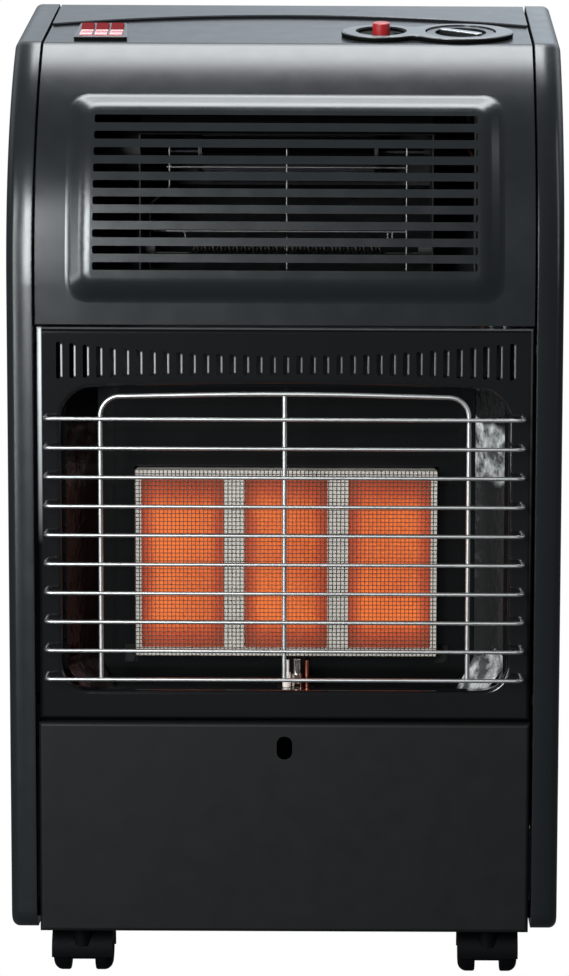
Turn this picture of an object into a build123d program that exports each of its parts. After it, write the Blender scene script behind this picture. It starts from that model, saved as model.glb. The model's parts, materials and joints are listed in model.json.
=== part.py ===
from build123d import *
import math
import os

# Portable gas cabinet heater. Millimetres, +Z up, front faces -Y, +X to the right seen from the front.
# Origin: on the floor, at the centre of the cabinet's width and depth.
# A place in the depth is given as a setback behind the side panels' front edges.

# ---------------------------------------------------------------- cabinet
width = 420.0
depth = 400.0
height = 755.0
guard_proud = 9.0
sheet = 1.2
front_y = guard_proud - depth / 2

side_thick = 20.0
panel_gap = 2.0
panel_half = width / 2 - side_thick - panel_gap
# what the heights, half-widths and rear setbacks below are multiplied by, 1 at the photographed size
rise = height / 755
spread = panel_half / 188
reach = depth / 400

side_bottom_z = 43.5
side_edge_radius = 6.0
side_lip = 12.0
bow_start_z = 540.0 * rise
bow_radius = 240.0
top_slope = 12.0
top_depth = 250.0
top_round = 10.0
rear_inset = 2.0
rear_skirt = 40.0
neck_low_z = 668.0 * rise
tail_setback = 341.0 * reach
tail_top_z = 560.0 * rise
crease_radius = 14.0

panel_return = 14.0
# location pads that span the gap from a side panel to a front or top panel
pad_place_setback = 8.0
pad_place_rise = 8.0
pad_place_inset = 12.0
pad_place_depth = 3.5
pad_place_drop = 12.8
pad_place_crease = 14.0
pad_place_rear = 12.5

# ---------------------------------------------------------------- front panels
fascia_setback = 0.8
fascia_low_z = 510.2 * rise
flange_slope = 11.4
joint_end_setback = 154.0
joint_mid_setback = 193.0
joint_gap = 4.0
joint_underlap = 10.0
joint_side_clear = 2.0
seal_clear = 0.4

pad_half = 163.0 * spread
pad_low_z = 529.0 * rise
pad_high_z = 681.0 * rise
pad_rise = 6.0
pad_bevel = 12.0
# the bottom ramp ends where the bow starts
pad_bottom_bevel = bow_start_z - pad_low_z
pad_corner_round = 30.0
pad_crest_round = 20.0
pad_foot_round = 10.0
louvre_count = 10
louvre_top_z = 664.0 * rise
louvre_pitch = 12.18 * rise
louvre_slot = 6.0
louvre_half = 144.5 * spread
louvre_corner = 1.6

surround_setback = 6.0
surround_low_z = 207.0 * rise
surround_high_z = 507.6 * rise
surround_edge = 4.5
opening_half = 169.5 * spread
opening_low_z = 230.0 * rise
opening_side_z = 460.2 * rise
opening_mid_z = 465.0 * rise
opening_top_corner = 24.0
opening_low_corner = 20.0
opening_rim = 5.0
opening_rim_depth = 12.0
opening_rim_round = 3.5

vent_count = 35
vent_pitch = 10.08 * spread
vent_slot = 3.2
vent_top_mid_z = 486.8 * rise
vent_top_end_z = 496.6 * rise
vent_low_mid_z = 472.4 * rise
vent_low_end_z = 468.6 * rise
vent_bead = 1.0

lower_setback = 3.0
lower_low_z = 41.5
lower_high_z = 205.3 * rise
lower_edge = 3.0
eyelet_z = 185.9 * rise
eyelet_width = 12.0
eyelet_height = 18.0

# ---------------------------------------------------------------- wire guard
guard_wire = 3.0
guard_frame_wire = 3.6
guard_weld = 0.3
guard_bars = 10
guard_top_bar_z = 439.5 * rise
guard_bar_pitch = 22.1 * rise
guard_half = 181.0 * spread
guard_bend = 5.0
guard_leg_end = 10.0
guard_hole_clear = 0.3
guard_frame_half = 139.0 * spread
guard_frame_top_z = 459.3 * rise
guard_frame_drop = 3.2
guard_frame_corner = 15.0

# ---------------------------------------------------------------- chamber and burner
chamber_low_z = 224.0 * rise
chamber_high_z = 462.0 * rise
chamber_front = 19.0
chamber_back = 62.0
chamber_back_half = 146.0 * spread
chamber_front_half = 167.0 * spread
liner_sheet = 1.0
liner_clear = 1.0
reflector_sheet = 0.8
reflector_ramp_rise = 22.0
reflector_ramp_run = 15.0

burner_half = 117.0 * spread
burner_low_z = 249.3 * rise
burner_high_z = 395.0 * rise
burner_front = 48.5
burner_frame_depth = chamber_back - burner_front
ear_reach = 9.0
ear_drop = 7.0
frame_sheet = 1.5
window_pitch = 80.0 * spread
window_width = window_pitch * 0.8
window_margin = 6.85
window_height = burner_high_z - burner_low_z - 2 * window_margin
plaque_lap = 1.3
plaque_width = window_width + 2 * plaque_lap
plaque_height = window_height + 2 * plaque_lap
plaque_thick = 13.0
plaque_clear = 0.3
housing_clear = 0.3
housing_back = 88.0
housing_wall = 3.0
plenum_margin = 3.6
mesh_thick = 1.0
mesh_rim = 3.0
mesh_columns = 20
mesh_rows = 14
mesh_bar = 1.6
mixer_radius = 9.0
mixer_bore = 6.5
mixer_setback = 75.0
mixer_low_z = 226.0 * rise

manifold_z = 210.0 * rise
manifold_radius = 6.0
manifold_bore = 4.5
manifold_left = -92.0 * spread
manifold_right = 104.0 * spread
manifold_boss_radius = 6.5
manifold_boss_top = 217.0 * rise
injector_radius = 4.0
injector_top = 225.0 * rise
injector_bore = 1.0

# ---------------------------------------------------------------- divider and bottle bay
divider_setback = 97.0
divider_step_z = 545.0 * rise
divider_shelf_z = 625.0 * rise
divider_upper_setback = 178.0
divider_top_z = 735.0 * rise
divider_sheet = 1.0
divider_side_clear = 1.5
tray_top_z = 52.0
tray_sheet = 2.0
tray_front = lower_setback + panel_return
tray_half = width / 2 - side_thick
tray_rear = 386.0 * reach
tray_rim = 12.0
seat_half = 146.0 * spread
seat_rear = 368.0 * reach
seat_margin = 6.0
seat_rise = 1.0

cover_low_z = tray_top_z
cover_high_z = 600.0 * rise
cover_back = depth - guard_proud
cover_front = 325.0 * reach
cover_corner = 24.0
cover_sheet = 1.0
cover_side_clear = 0.5
cover_grip_z = 560.0 * rise
cover_grip_width = 100.0
cover_grip_height = 30.0
cover_vents = 9
cover_vent_pitch = 30.0

# ---------------------------------------------------------------- controls
console_height = 4.0
console_round = 1.2
knob_x = 134.0 * spread
knob_setback = 119.0
knob_lobe_x = 41.0
knob_lobe_v = 33.0
igniter_x = 72.0 * spread
igniter_lobe_x = 31.0
igniter_lobe_v = 27.0
waist_half = 19.0
waist_round = 6.0
knob_radius = 26.8
knob_hole_radius = 27.6
knob_dish_radius = 20.0
knob_top = 3.0
knob_under = -2.0
knob_dish_floor = 0.0
knob_hub_radius = 8.0
knob_hub_low = -11.0
grip_length = 38.5
grip_width = 7.5
grip_top = 4.4
grip_angle = -35.0
spindle_radius = 3.0
plunger_radius = 6.0
shaft_clear = 0.05
valve_top = -16.0
valve_low = -46.0
valve_size = 30.0
ear_thick = 3.0
ear_width = 20.0
plunger_top = -15.0
plunger_low = -36.0
spindle_seat = 3.0

well_radius = 20.0
button_radius = 6.8
button_top = 10.5
button_low = -8.0
button_clear = 0.3
igniter_body_radius = 9.5
igniter_body_low = -46.0
igniter_floor = -16.0
lamp_radius = 2.4
lamp_offset = 12.5

switch_x = -145.3 * spread
switch_setback = 113.5
switch_front_half = 21.0
switch_rear_half = 18.0
switch_length = 41.0
switch_front_height = 2.4
switch_rear_height = 6.4
rocker_pitch = 11.5
rocker_width = 9.8
rocker_pocket = 10.2
rocker_length = 28.0
rocker_slot_length = 30.0
rocker_pin_radius = 1.2
rocker_pin_out = 0.5
rocker_pin_w = 1.6
rocker_rest_tilt = 8.0
switch_body_low = -26.0
switch_body_wall = 1.2

# ---------------------------------------------------------------- electric section
duct_half = 112.0 * spread
duct_sheet = 1.0
duct_low_z = 548.0 * rise
duct_front = 40.0
duct_bend = 84.0
duct_rear = 148.0
duct_slope_z = 611.0 * rise
duct_high_z = 668.0 * rise
duct_lip_z = 652.0 * rise
duct_lip_back = 70.0
duct_throat = 90.0
duct_foot_width = 14.0
duct_foot_drop = 12.0
fan_setback = 116.0
fan_z = 638.0 * rise
fan_radius = 22.0
fan_half = 70.0 * spread
fan_blades = 18
fan_blade_depth = 5.0
fan_blade_thick = 1.0
fan_disc = 3.0
fan_shaft_radius = 3.0
motor_radius = 21.0
motor_length = 38.0
motor_bore = 15.0
bush_length = 6.0

element_setback = 60.0
element_wire = 1.0
element_rod_high_z = 627.0 * rise
element_rod_low_z = 578.0 * rise
element_rod_half = 92.0 * spread
element_top_z = 645.0 * rise
coil_z = 565.0 * rise
coil_radius = 3.4
coil_wire = 0.7
coil_turns = 24
coil_half = 73.0 * spread
lead_half = 104.0 * spread
lead_bend = 3.5
holder_radius = 7.0
holder_bore_clear = 0.05
holder_length = 10.0

# ---------------------------------------------------------------- gas and ignition lines
burner_pipe_radius = 4.0
pilot_pipe_radius = 2.0
lead_radius = 1.5
capillary_radius = 1.25
burner_riser_x = 170.0 * spread
pilot_riser_x = 158.0 * spread
capillary_riser_x = 152.0 * spread
lead_riser_x = 145.5 * spread
riser_setback = 84.0
pilot_riser_setback = 62.0
pilot_run_z = 211.0 * rise
lead_run_z = 216.5 * rise
lead_run_setback = 58.0
riser_top_z = 630.0 * rise
tap_offset = 7.0
tap_length = 20.0
pipe_bend = 14.0
pilot_setback = 40.0
pilot_x = 9.0
electrode_x = 2.0
thermocouple_x = 16.5
line_hole_clear = 0.5
pilot_plate_rise = 3.0
pilot_nut_height = 10.0
pilot_nut_radius = 4.4
hose_tail_radius = 4.5
hose_tail_out = 24.0
tail_collar_radius = 7.0

gland_x = -120.0 * spread
gland_z = 690.0 * rise
gland_radius = 8.0
gland_bore = 4.0
gland_out = 14.0
gland_flange = 3.0
gland_in = 8.0

# ---------------------------------------------------------------- castors
castor_x = 158.0 * spread
castor_front_setback = 33.0
castor_rear_setback = 350.0 * reach
wheel_radius = 18.5
wheel_width = 13.2
wheel_offset = 9.8
wheel_outer_round = 7.0
wheel_inner_round = 1.5
wheel_side_clear = 0.6
wheel_bore_clear = 0.05
axle_radius = 3.0
castor_web_half = wheel_offset - wheel_side_clear
castor_web_radius = 10.5
fender_clear = 1.0
fender_sheet = 1.5
fender_drop = 4.0
castor_half = wheel_offset + wheel_width + fender_clear / 2
castor_trail = 14.0
post_radius = 8.0
post_top_z = 49.5
stem_radius = 5.0
stem_top_z = 70.0
socket_radius = 9.0
socket_top_z = 74.0

screw_head_radius = 3.5
screw_head = 2.0
rear_screw_half = 150.0 * spread
frame_screw_out = ear_reach / 2
frame_screw_drop = 3.0


# how near to a surface an edge's points lie to count as on it
on_surface = 0.02


# ================================================================ helpers
def at(setback):
    return front_y + setback


def point(x, setback, z):
    return Vector(x, at(setback), z)


def block(x0, x1, s0, s1, z0, z1):
    centre = point((x0 + x1) / 2, (s0 + s1) / 2, (z0 + z1) / 2)
    return Pos(centre) * Box(x1 - x0, s1 - s0, z1 - z0)


def side_slab(face, x0, x1):
    """A face drawn in setback and height, made solid from x0 to x1."""
    return extrude(Plane(point(x0, 0, 0), x_dir=(0, 1, 0), z_dir=(1, 0, 0)) * face, x1 - x0)


def front_slab(face, s0, s1):
    """A face drawn in x and height, made solid from setback s0 to s1."""
    return extrude(Plane(point(0, s1, 0), x_dir=(1, 0, 0), z_dir=(0, -1, 0)) * face, s1 - s0)


def plan_slab(face, z0, z1):
    """A face drawn in x and setback, made solid from z0 to z1."""
    return extrude(Plane(point(0, 0, z0)) * face, z1 - z0)


def outline(*edges):
    return make_face(Curve() + list(edges))


def polygon(*points):
    return make_face(Polyline(*points, close=True))


def ribbon_side(points, thickness):
    """The far side of a bent strip of sheet drawn along points, its thickness to the left of the way."""
    def direction(a, b):
        length = math.hypot(b[0] - a[0], b[1] - a[1])
        return (b[0] - a[0]) / length, (b[1] - a[1]) / length
    runs = [direction(a, b) for a, b in zip(points, points[1:])]
    other = []
    for i, (px, py) in enumerate(points):
        before = runs[max(i - 1, 0)]
        after = runs[min(i, len(runs) - 1)]
        nx, ny = -before[1] - after[1], before[0] + after[0]
        scale = thickness * 2 / (nx * nx + ny * ny)
        other.append((px + nx * scale, py + ny * scale))
    return other


def ribbon(points, thickness):
    return polygon(*points, *reversed(ribbon_side(points, thickness)))


def ribbon_runs(points, thickness):
    """The same strip as one face for each of its straight runs, parted at the mitres."""
    other = ribbon_side(points, thickness)
    return [polygon(a, b, d, c) for a, b, c, d in zip(points, points[1:], other, other[1:])]


def tube(points, radius, bend):
    path = FilletPolyline(*[point(*p) for p in points], radius=bend)
    return sweep((path ^ 0) * Circle(radius), path)


def rod(start, end, radius):
    path = Line(point(*start), point(*end))
    return sweep((path ^ 0) * Circle(radius), path)


def along_x(x0, x1, setback, z, radius):
    return rod((x0, setback, z), (x1, setback, z), radius)


def upright(x, setback, z0, z1, radius):
    return rod((x, setback, z0), (x, setback, z1), radius)


def top_line(setback, anchor, slope, drop):
    """Height of a sloping top, a drop below the line through anchor."""
    return (anchor[1] + (setback - anchor[0]) * math.tan(math.radians(slope))
            - drop / math.cos(math.radians(slope)))


def crease(anchor, slope, drop):
    """Where the bowed front, set in by drop, meets a sloping top."""
    m = math.tan(math.radians(slope))
    a = top_line(0, anchor, slope, drop) - bow_start_z
    r = bow_radius - drop
    qa = 1 + m * m
    qb = 2 * (m * a - bow_radius)
    qc = bow_radius ** 2 + a * a - r * r
    setback = (-qb - math.sqrt(qb * qb - 4 * qa * qc)) / (2 * qa)
    return setback, top_line(setback, anchor, slope, drop)


rear_rise = top_round * (math.tan(math.radians(top_slope)) + 1 / math.cos(math.radians(top_slope)) - 1)
rear_corner = (top_depth, height + rear_rise)
side_crease = crease(rear_corner, top_slope, 0)


def bow_point(inset, setback_hint):
    """A point on the bowed front, set in by inset, at a share of the way to the crease."""
    angle = setback_hint * math.acos(1 - side_crease[0] / bow_radius)
    r = bow_radius - inset
    return bow_radius - r * math.cos(angle), bow_start_z + r * math.sin(angle)


def bow_edges(inset, low_z, end):
    """Front line, bow and crease point of an outline that ends in the crease point given."""
    return [
        Line((inset, low_z), (inset, bow_start_z)),
        ThreePointArc((inset, bow_start_z), bow_point(inset, 0.5), end),
    ]


def flange_z(setback, drop=0.0):
    return top_line(setback, side_crease, flange_slope, fascia_setback + drop)


def top_plane(x, setback, lift=0.0):
    """A plane on the fascia's top flange: local x to the right, y up the slope, z out of it."""
    a = math.radians(flange_slope)
    normal = Vector(0, -math.sin(a), math.cos(a))
    origin = point(x, setback, flange_z(setback)) + normal * lift
    return Plane(origin, x_dir=(1, 0, 0), z_dir=normal)


def on_top(x, setback, low, high, face):
    return extrude(top_plane(x, setback, low) * face, high - low)


def joint_region(extra):
    """Plan of everything behind the curved joint line, moved back by extra."""
    end = joint_end_setback + extra
    mid = joint_mid_setback + extra
    far = top_depth + sheet * 20
    half = width / 2
    corners = [(panel_half, end), (half, end), (half, far), (-half, far), (-half, end), (-panel_half, end)]
    arc = ThreePointArc((-panel_half, end), (0, mid), (panel_half, end))
    return outline(arc, *[Line(a, b) for a, b in zip(corners, corners[1:])])


def behind_joint(extra):
    return plan_slab(joint_region(extra), fascia_low_z, height + sheet)


# ================================================================ cabinet shells
def side_outline(inset):
    end = crease(rear_corner, top_slope, inset)
    rear = top_depth - inset
    tail = tail_setback - inset
    low = side_bottom_z + inset
    top = top_line(rear, rear_corner, top_slope, inset)
    points = [end, (rear, top), (rear, neck_low_z), (tail, tail_top_z), (tail, low), (inset, low)]
    edges = bow_edges(inset, low, end)
    edges += [Line(a, b) for a, b in zip(points, points[1:])]
    face = outline(*edges)
    rounds = [
        (end, crease_radius - inset * 0.5), ((rear, top), top_round - inset),
        ((rear, neck_low_z), tail_setback * 0.15), ((tail, tail_top_z), tail_setback * 0.15),
        ((tail, low), crease_radius - inset), ((inset, low), crease_radius - inset),
    ]
    for place, radius in rounds:
        corner = face.vertices().sort_by_distance(Vector(*place))[0]
        face = fillet(corner, max(radius, sheet))
    return face


def pad_places():
    """Front low corner of each location pad: two for each front panel, two under the top."""
    places = []
    for low, high in ((lower_low_z, lower_high_z), (surround_low_z, surround_high_z)):
        places.append((pad_place_setback, low + pad_place_inset))
        places.append((pad_place_setback, high - pad_place_inset - pad_place_rise))
    places.append((pad_place_setback, fascia_low_z + pad_place_inset / 2))
    for setback in (side_crease[0] + pad_place_crease, top_depth - pad_place_rear):
        places.append((setback, top_line(setback, rear_corner, top_slope, pad_place_drop)))
    return places


def side_panel(sign):
    outer = side_slab(side_outline(0), width / 2 - side_thick, width / 2)
    rim = outer.faces().sort_by(Axis.X)[-1].edges()
    outer = fillet(rim, side_edge_radius)
    cavity = side_slab(side_outline(sheet), width / 2 - side_thick + sheet, width / 2 - sheet)
    inner_rim = cavity.faces().sort_by(Axis.X)[-1].edges()
    cavity = fillet(inner_rim, side_edge_radius - sheet)
    inner_x = width / 2 - side_thick
    mouth = side_slab(side_outline(side_lip), inner_x - sheet, inner_x + 2 * sheet)
    shell = outer - cavity - mouth
    for setback, z in pad_places():
        shell = shell + block(panel_half, inner_x + sheet / 2, setback, setback + pad_place_depth,
                              z, z + pad_place_rise)
    return shell if sign > 0 else mirror(shell, Plane.YZ)


def fascia_block(inset, low_z, half, end_setback):
    """The room behind the fascia's outer skin, as one closed block."""
    end = crease(side_crease, flange_slope, fascia_setback + inset)
    edges = bow_edges(fascia_setback + inset, low_z, end)
    back = (end_setback, flange_z(end_setback, inset))
    edges += [
        Line(end, back),
        Line(back, (end_setback, low_z)),
        Line((end_setback, low_z), (fascia_setback + inset, low_z)),
    ]
    face = outline(*edges)
    corner = face.vertices().sort_by_distance(Vector(*end))[0]
    face = fillet(corner, crease_radius - inset * 0.5)
    return side_slab(face, -half, half)


def pad_section(inset):
    """Cross-section of the raised louvre pad: half-width against height over the bow's axis."""
    base = bow_radius - fascia_setback
    slope = pad_bevel / pad_rise
    deep = base - 2 * pad_rise
    high = base + pad_rise
    face = polygon(
        (-pad_half - 2 * pad_bevel, deep), (-pad_half + pad_rise * slope, high),
        (pad_half - pad_rise * slope, high), (pad_half + 2 * pad_bevel, deep),
    )
    return offset(face, -inset, kind=Kind.INTERSECTION) if inset else face


def pad_side(inset):
    """Side view of the pad, whose ramps end it at the top and at the bottom."""
    base = bow_radius - fascia_setback
    high_angle = math.asin((pad_high_z - bow_start_z) / base)
    crest_angle = high_angle - pad_bevel / base
    foot = (bow_radius - base * math.cos(high_angle), pad_high_z)
    crest_r = base + pad_rise
    crest = (bow_radius - crest_r * math.cos(crest_angle), bow_start_z + crest_r * math.sin(crest_angle))
    run = (crest[0] - foot[0], crest[1] - foot[1])
    front = (foot[0] + 4 * run[0], foot[1] + 4 * run[1])
    back = (foot[0] - run[0], foot[1] - run[1])
    low_crest = (fascia_setback - 2 * pad_rise, pad_low_z + 2 * pad_bottom_bevel)
    low_foot = (fascia_setback + pad_rise, pad_low_z - pad_bottom_bevel)
    face = polygon(
        low_foot, low_crest, (low_crest[0], front[1]), front, back,
        (bow_radius / 2, back[1]), (bow_radius / 2, low_foot[1]),
    )
    if not inset:
        return face
    # the inner ramp is let down a little, so that its crest too lies where the bow starts
    lean = math.atan2(pad_rise, pad_bottom_bevel)
    return Pos(0, -inset * math.tan(lean / 2)) * offset(face, -inset, kind=Kind.INTERSECTION)


def pad_solid(inset):
    """The raised pad with sharp edges, reaching well below the fascia's skin."""
    section = pad_section(inset)
    axis_line = Axis(point(0, bow_radius, bow_start_z), (1, 0, 0))
    frame = Plane(point(0, bow_radius, bow_start_z), x_dir=(1, 0, 0), z_dir=(0, 0, 1))
    flat = frame * (Rot(0, 0, 180) * section)
    turned = revolve(flat, axis_line, -50)
    straight = extrude(flat, -(bow_start_z - pad_low_z + 2 * pad_bottom_bevel))
    return (turned + straight) & side_slab(pad_side(inset), -panel_half, panel_half)


def front_reach(place):
    """How far a point lies from the bow's axis or, below the bow, from the upright plane through it."""
    return math.hypot(bow_radius - (place.Y - front_y), max(place.Z - bow_start_z, 0))


def lies_at(edge, radius):
    return all(abs(front_reach(edge.position_at(share)) - radius) < on_surface for share in (0.1, 0.5, 0.9))


def rounded_pad(inset):
    """The raised pad with its corners and its crest rounded."""
    pad = pad_solid(inset).solid()
    crest = bow_radius - fascia_setback + pad_rise - inset
    corners = []
    for edge in pad.edges():
        start, end = edge.position_at(0), edge.position_at(1)
        starts_high, ends_high = [abs(front_reach(place) - crest) < on_surface for place in (start, end)]
        apart = end - start
        if starts_high != ends_high and min(abs(apart.X), abs(apart.Z)) > pad_bevel / 3:
            corners.append(edge)
    pad = pad.fillet(pad_corner_round - inset, corners)
    return pad.fillet(pad_crest_round - inset, [edge for edge in pad.edges() if lies_at(edge, crest)])


def fascia_body(inset, end_setback):
    """All that lies behind the fascia's outer face set in by inset, with the pad blended into the face."""
    low_z = fascia_low_z + inset
    body = fascia_block(inset, low_z, panel_half - inset, end_setback + inset) + rounded_pad(inset)
    body = body.solid()
    foot = []
    for edge in body.edges():
        middle = edge.position_at(0.5)
        beside = abs(middle.X) < pad_half + pad_rise / 2
        level = pad_low_z - pad_rise < middle.Z < pad_high_z + pad_rise
        if beside and level and lies_at(edge, bow_radius - fascia_setback - inset):
            foot.append(edge)
    return body.fillet(pad_foot_round + inset, foot)


def louvre_cuts():
    cuts = []
    for i in range(louvre_count):
        slot = RectangleRounded(2 * louvre_half, louvre_slot, louvre_corner)
        z = louvre_top_z - i * louvre_pitch
        cuts.append(front_slab(Pos(0, z) * slot, -2 * pad_rise, bow_radius / 3))
    return cuts


def upper_fascia():
    end_setback = joint_mid_setback + joint_gap + joint_underlap + sheet
    core = fascia_block(panel_return, fascia_low_z - sheet, panel_half + sheet, end_setback + sheet)
    shell = fascia_body(0, end_setback) - fascia_body(sheet, end_setback) - core
    for cut in louvre_cuts():
        shell = shell - cut
    shell = shell - behind_joint(joint_gap + joint_underlap)
    for sign in (-1, 1):
        inner, outer = sorted((sign * (panel_half - joint_side_clear), sign * (panel_half + sheet)))
        start = joint_end_setback + joint_gap - seal_clear
        shell = shell - block(inner, outer, start, end_setback + sheet, fascia_low_z, height)
    shell = shell - on_top(knob_x, knob_setback, -panel_return, sheet, Circle(knob_hole_radius))
    shell = shell - on_top(igniter_x, knob_setback, -panel_return, sheet, Circle(igniter_body_radius + 1))
    hole = Rectangle(3 * rocker_pitch + 2 * switch_body_wall, rocker_slot_length + 2 * switch_body_wall)
    return shell - on_top(switch_x, switch_setback, -panel_return, sheet, hole)


def rear_top_panel():
    def room(inset, low_z):
        front = joint_end_setback - panel_return
        rear = top_depth - rear_inset - inset
        return polygon(
            (front, low_z), (front, top_line(front, rear_corner, top_slope, inset)),
            (rear, top_line(rear, rear_corner, top_slope, inset)), (rear, low_z),
        )
    low_z = height - rear_skirt
    shell = side_slab(room(0, low_z), -panel_half, panel_half)
    ridge = shell.edges().filter_by(Axis.X).sort_by(Axis.Z)[-1]
    shell = fillet(ridge, top_round)
    hollow = side_slab(room(sheet, low_z - sheet), sheet - panel_half, panel_half - sheet)
    inner_ridge = hollow.edges().filter_by(Axis.X).sort_by(Axis.Z)[-1]
    shell = shell - fillet(inner_ridge, top_round - sheet)
    flange = side_slab(room(panel_return, low_z - sheet), -panel_half - sheet, panel_half + sheet)
    shell = shell - flange
    return shell & behind_joint(joint_gap)


def top_seal():
    strip = behind_joint(0) - behind_joint(joint_gap - seal_clear)
    low = polygon(
        (joint_end_setback - 5, flange_z(joint_end_setback - 5)),
        (joint_end_setback - 5, top_line(joint_end_setback - 5, rear_corner, top_slope, 0.2)),
        (top_depth, top_line(top_depth, rear_corner, top_slope, 0.2)),
        (top_depth, flange_z(top_depth)),
    )
    return strip & side_slab(low, sheet - panel_half, panel_half - sheet)


def pressed_panel(setback, low_z, high_z, edge):
    """A flat front panel with rounded front edges and returns all round."""
    def tray(inset):
        half = panel_half - inset
        body = block(-half, half, setback + inset, setback + panel_return, low_z + inset, high_z - inset)
        rim = body.faces().sort_by(Axis.Y)[0].edges()
        return fillet(rim, edge - inset)
    hollow = tray(sheet)
    back = block(-panel_half + sheet, panel_half - sheet, setback + panel_return - sheet,
                 setback + panel_return + sheet, low_z + sheet, high_z - sheet)
    return tray(0) - hollow - back


def opening_face(grow):
    half = opening_half + grow
    low = opening_low_z - grow
    side = opening_side_z + grow
    face = outline(
        ThreePointArc((-half, side), (0, opening_mid_z + grow), (half, side)),
        Line((half, side), (half, low)),
        Line((half, low), (-half, low)),
        Line((-half, low), (-half, side)),
    )
    for sign in (-1, 1):
        corner = face.vertices().sort_by_distance(Vector(sign * half, side))[0]
        face = fillet(corner, opening_top_corner + grow)
        corner = face.vertices().sort_by_distance(Vector(sign * half, low))[0]
        face = fillet(corner, opening_low_corner + grow)
    return face


def vent_heights(x):
    """Low and high end of the vent at x: both ends lie on shallow curves."""
    share = (x / (vent_pitch * (vent_count - 1) / 2)) ** 2
    low = vent_low_mid_z + (vent_low_end_z - vent_low_mid_z) * share
    high = vent_top_mid_z + (vent_top_end_z - vent_top_mid_z) * share
    return low, high


def burner_surround():
    shell = pressed_panel(surround_setback, surround_low_z, surround_high_z, surround_edge)
    rim = front_slab(opening_face(opening_rim), surround_setback, surround_setback + opening_rim_depth)
    hole = front_slab(opening_face(0), surround_setback - sheet, surround_setback + opening_rim_depth + sheet)
    ring = rim - hole
    lip = ring.faces().sort_by(Axis.Y)[0].inner_wires()[0]
    ring = ring.solid().fillet(opening_rim_round, lip.edges())
    outer_hole = front_slab(opening_face(opening_rim - 0.01), surround_setback - sheet,
                            surround_setback + panel_return + sheet)
    shell = shell - outer_hole + ring
    front = surround_setback
    cuts = []
    beads = []
    for i in range(vent_count):
        x = (i - (vent_count - 1) / 2) * vent_pitch
        low, high = vent_heights(x)
        z = (low + high) / 2
        slot = Pos(x, z) * RectangleRounded(vent_slot, high - low, vent_slot / 2 - 0.1)
        cuts.append(front_slab(slot, front - sheet, front + 2 * sheet))
        bead_x = x + vent_slot / 2 + vent_bead
        bead = rod((bead_x, front, low + vent_slot / 2), (bead_x, front, high - vent_slot / 2), vent_bead)
        beads.append(bead - block(bead_x - 2, bead_x + 2, front + sheet / 2, front + 2, low, high))
    shell = shell - cuts
    shell = shell + beads
    holes = []
    for i in range(guard_bars):
        for sign in (-1, 1):
            z = guard_top_bar_z - i * guard_bar_pitch
            face = Pos(sign * guard_half, z) * Circle(guard_wire / 2 + guard_hole_clear)
            holes.append(front_slab(face, front - sheet, front + 2 * sheet))
    return shell - holes


def lower_front_panel():
    shell = pressed_panel(lower_setback, lower_low_z, lower_high_z, lower_edge)
    eyelet = Pos(0, eyelet_z) * RectangleRounded(eyelet_width, eyelet_height, eyelet_width / 2 - 0.1)
    return shell - front_slab(eyelet, lower_setback - sheet, lower_setback + 2 * sheet)


def castor_places():
    places = []
    for row, setback in (("front", castor_front_setback), ("rear", castor_rear_setback)):
        for side, sign in (("left", -1), ("right", 1)):
            places.append((row + "_" + side, sign * castor_x, setback))
    return places


def base_tray():
    low = tray_top_z - tray_sheet
    tray = block(-tray_half, tray_half, tray_front, tray_rear, low, tray_top_z + tray_rim)
    inner = tray_half - tray_sheet
    tray = tray - block(-inner, inner, tray_front + tray_sheet, tray_rear + tray_sheet,
                        tray_top_z, tray_top_z + tray_rim + 1)
    tray = tray + block(-seat_half, seat_half, divider_setback + seat_margin, seat_rear,
                        tray_top_z - sheet, tray_top_z + seat_rise)
    for _, x, setback in castor_places():
        tray = tray + upright(x, setback, low, socket_top_z, socket_radius)
    for _, x, setback in castor_places():
        tray = tray - upright(x, setback, low - 1, socket_top_z + 1, stem_radius + shaft_clear)
    return tray


def rear_divider():
    path = [
        (divider_setback, tray_top_z), (divider_setback, divider_step_z),
        (divider_upper_setback, divider_shelf_z), (divider_upper_setback, divider_top_z),
    ]
    half = tray_half - tray_sheet - divider_side_clear
    low, shelf, high = [side_slab(face, -half, half) for face in ribbon_runs(path, -divider_sheet)]
    through = divider_upper_setback + 4 * divider_sheet
    tail = rod(valve_inlet(), (valve_inlet()[0], through, valve_inlet()[2]), tail_collar_radius + 0.4)
    gland = rod((gland_x, duct_rear, gland_z), (gland_x, through, gland_z), gland_radius)
    return [low, shelf, high - tail - gland]


def rear_cover():
    """Lift-off cover: a bent back with two sides that slip inside the side panels."""
    def plan(inset):
        half = tray_half - tray_sheet - cover_side_clear - inset
        back = cover_back - inset
        face = polygon((-half, cover_front), (half, cover_front), (half, back), (-half, back))
        for sign in (-1, 1):
            corner = face.vertices().sort_by_distance(Vector(sign * half, back))[0]
            face = fillet(corner, cover_corner - inset)
        return face
    cover = plan_slab(plan(0), cover_low_z, cover_high_z)
    room = plan_slab(plan(cover_sheet), cover_low_z - 1, cover_high_z + 1)
    front = block(-tray_half, tray_half, cover_front - 1, cover_front + 1, cover_low_z - 1, cover_high_z + 1)
    cover = cover - room - front
    grip = RectangleRounded(cover_grip_width, cover_grip_height, cover_grip_height / 2 - 0.1)
    cover = cover - front_slab(Pos(0, cover_grip_z) * grip, cover_back - 4, cover_back + 4)
    for i in range(cover_vents):
        z = cover_low_z + 2 * cover_vent_pitch + i * cover_vent_pitch
        slot = Pos(0, z) * RectangleRounded(2 * cover_grip_width, 6, 2.9)
        cover = cover - front_slab(slot, cover_back - 4, cover_back + 4)
    foot = block(-cover_grip_width, cover_grip_width, tray_rear - 14, cover_back - cover_sheet,
                 cover_low_z, cover_low_z + cover_sheet)
    return cover + foot


# ================================================================ guard
def guard_setback():
    return guard_wire / 2 - guard_proud


def frame_setback():
    return guard_setback() + guard_wire / 2 + guard_frame_wire / 2 - guard_weld


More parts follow.
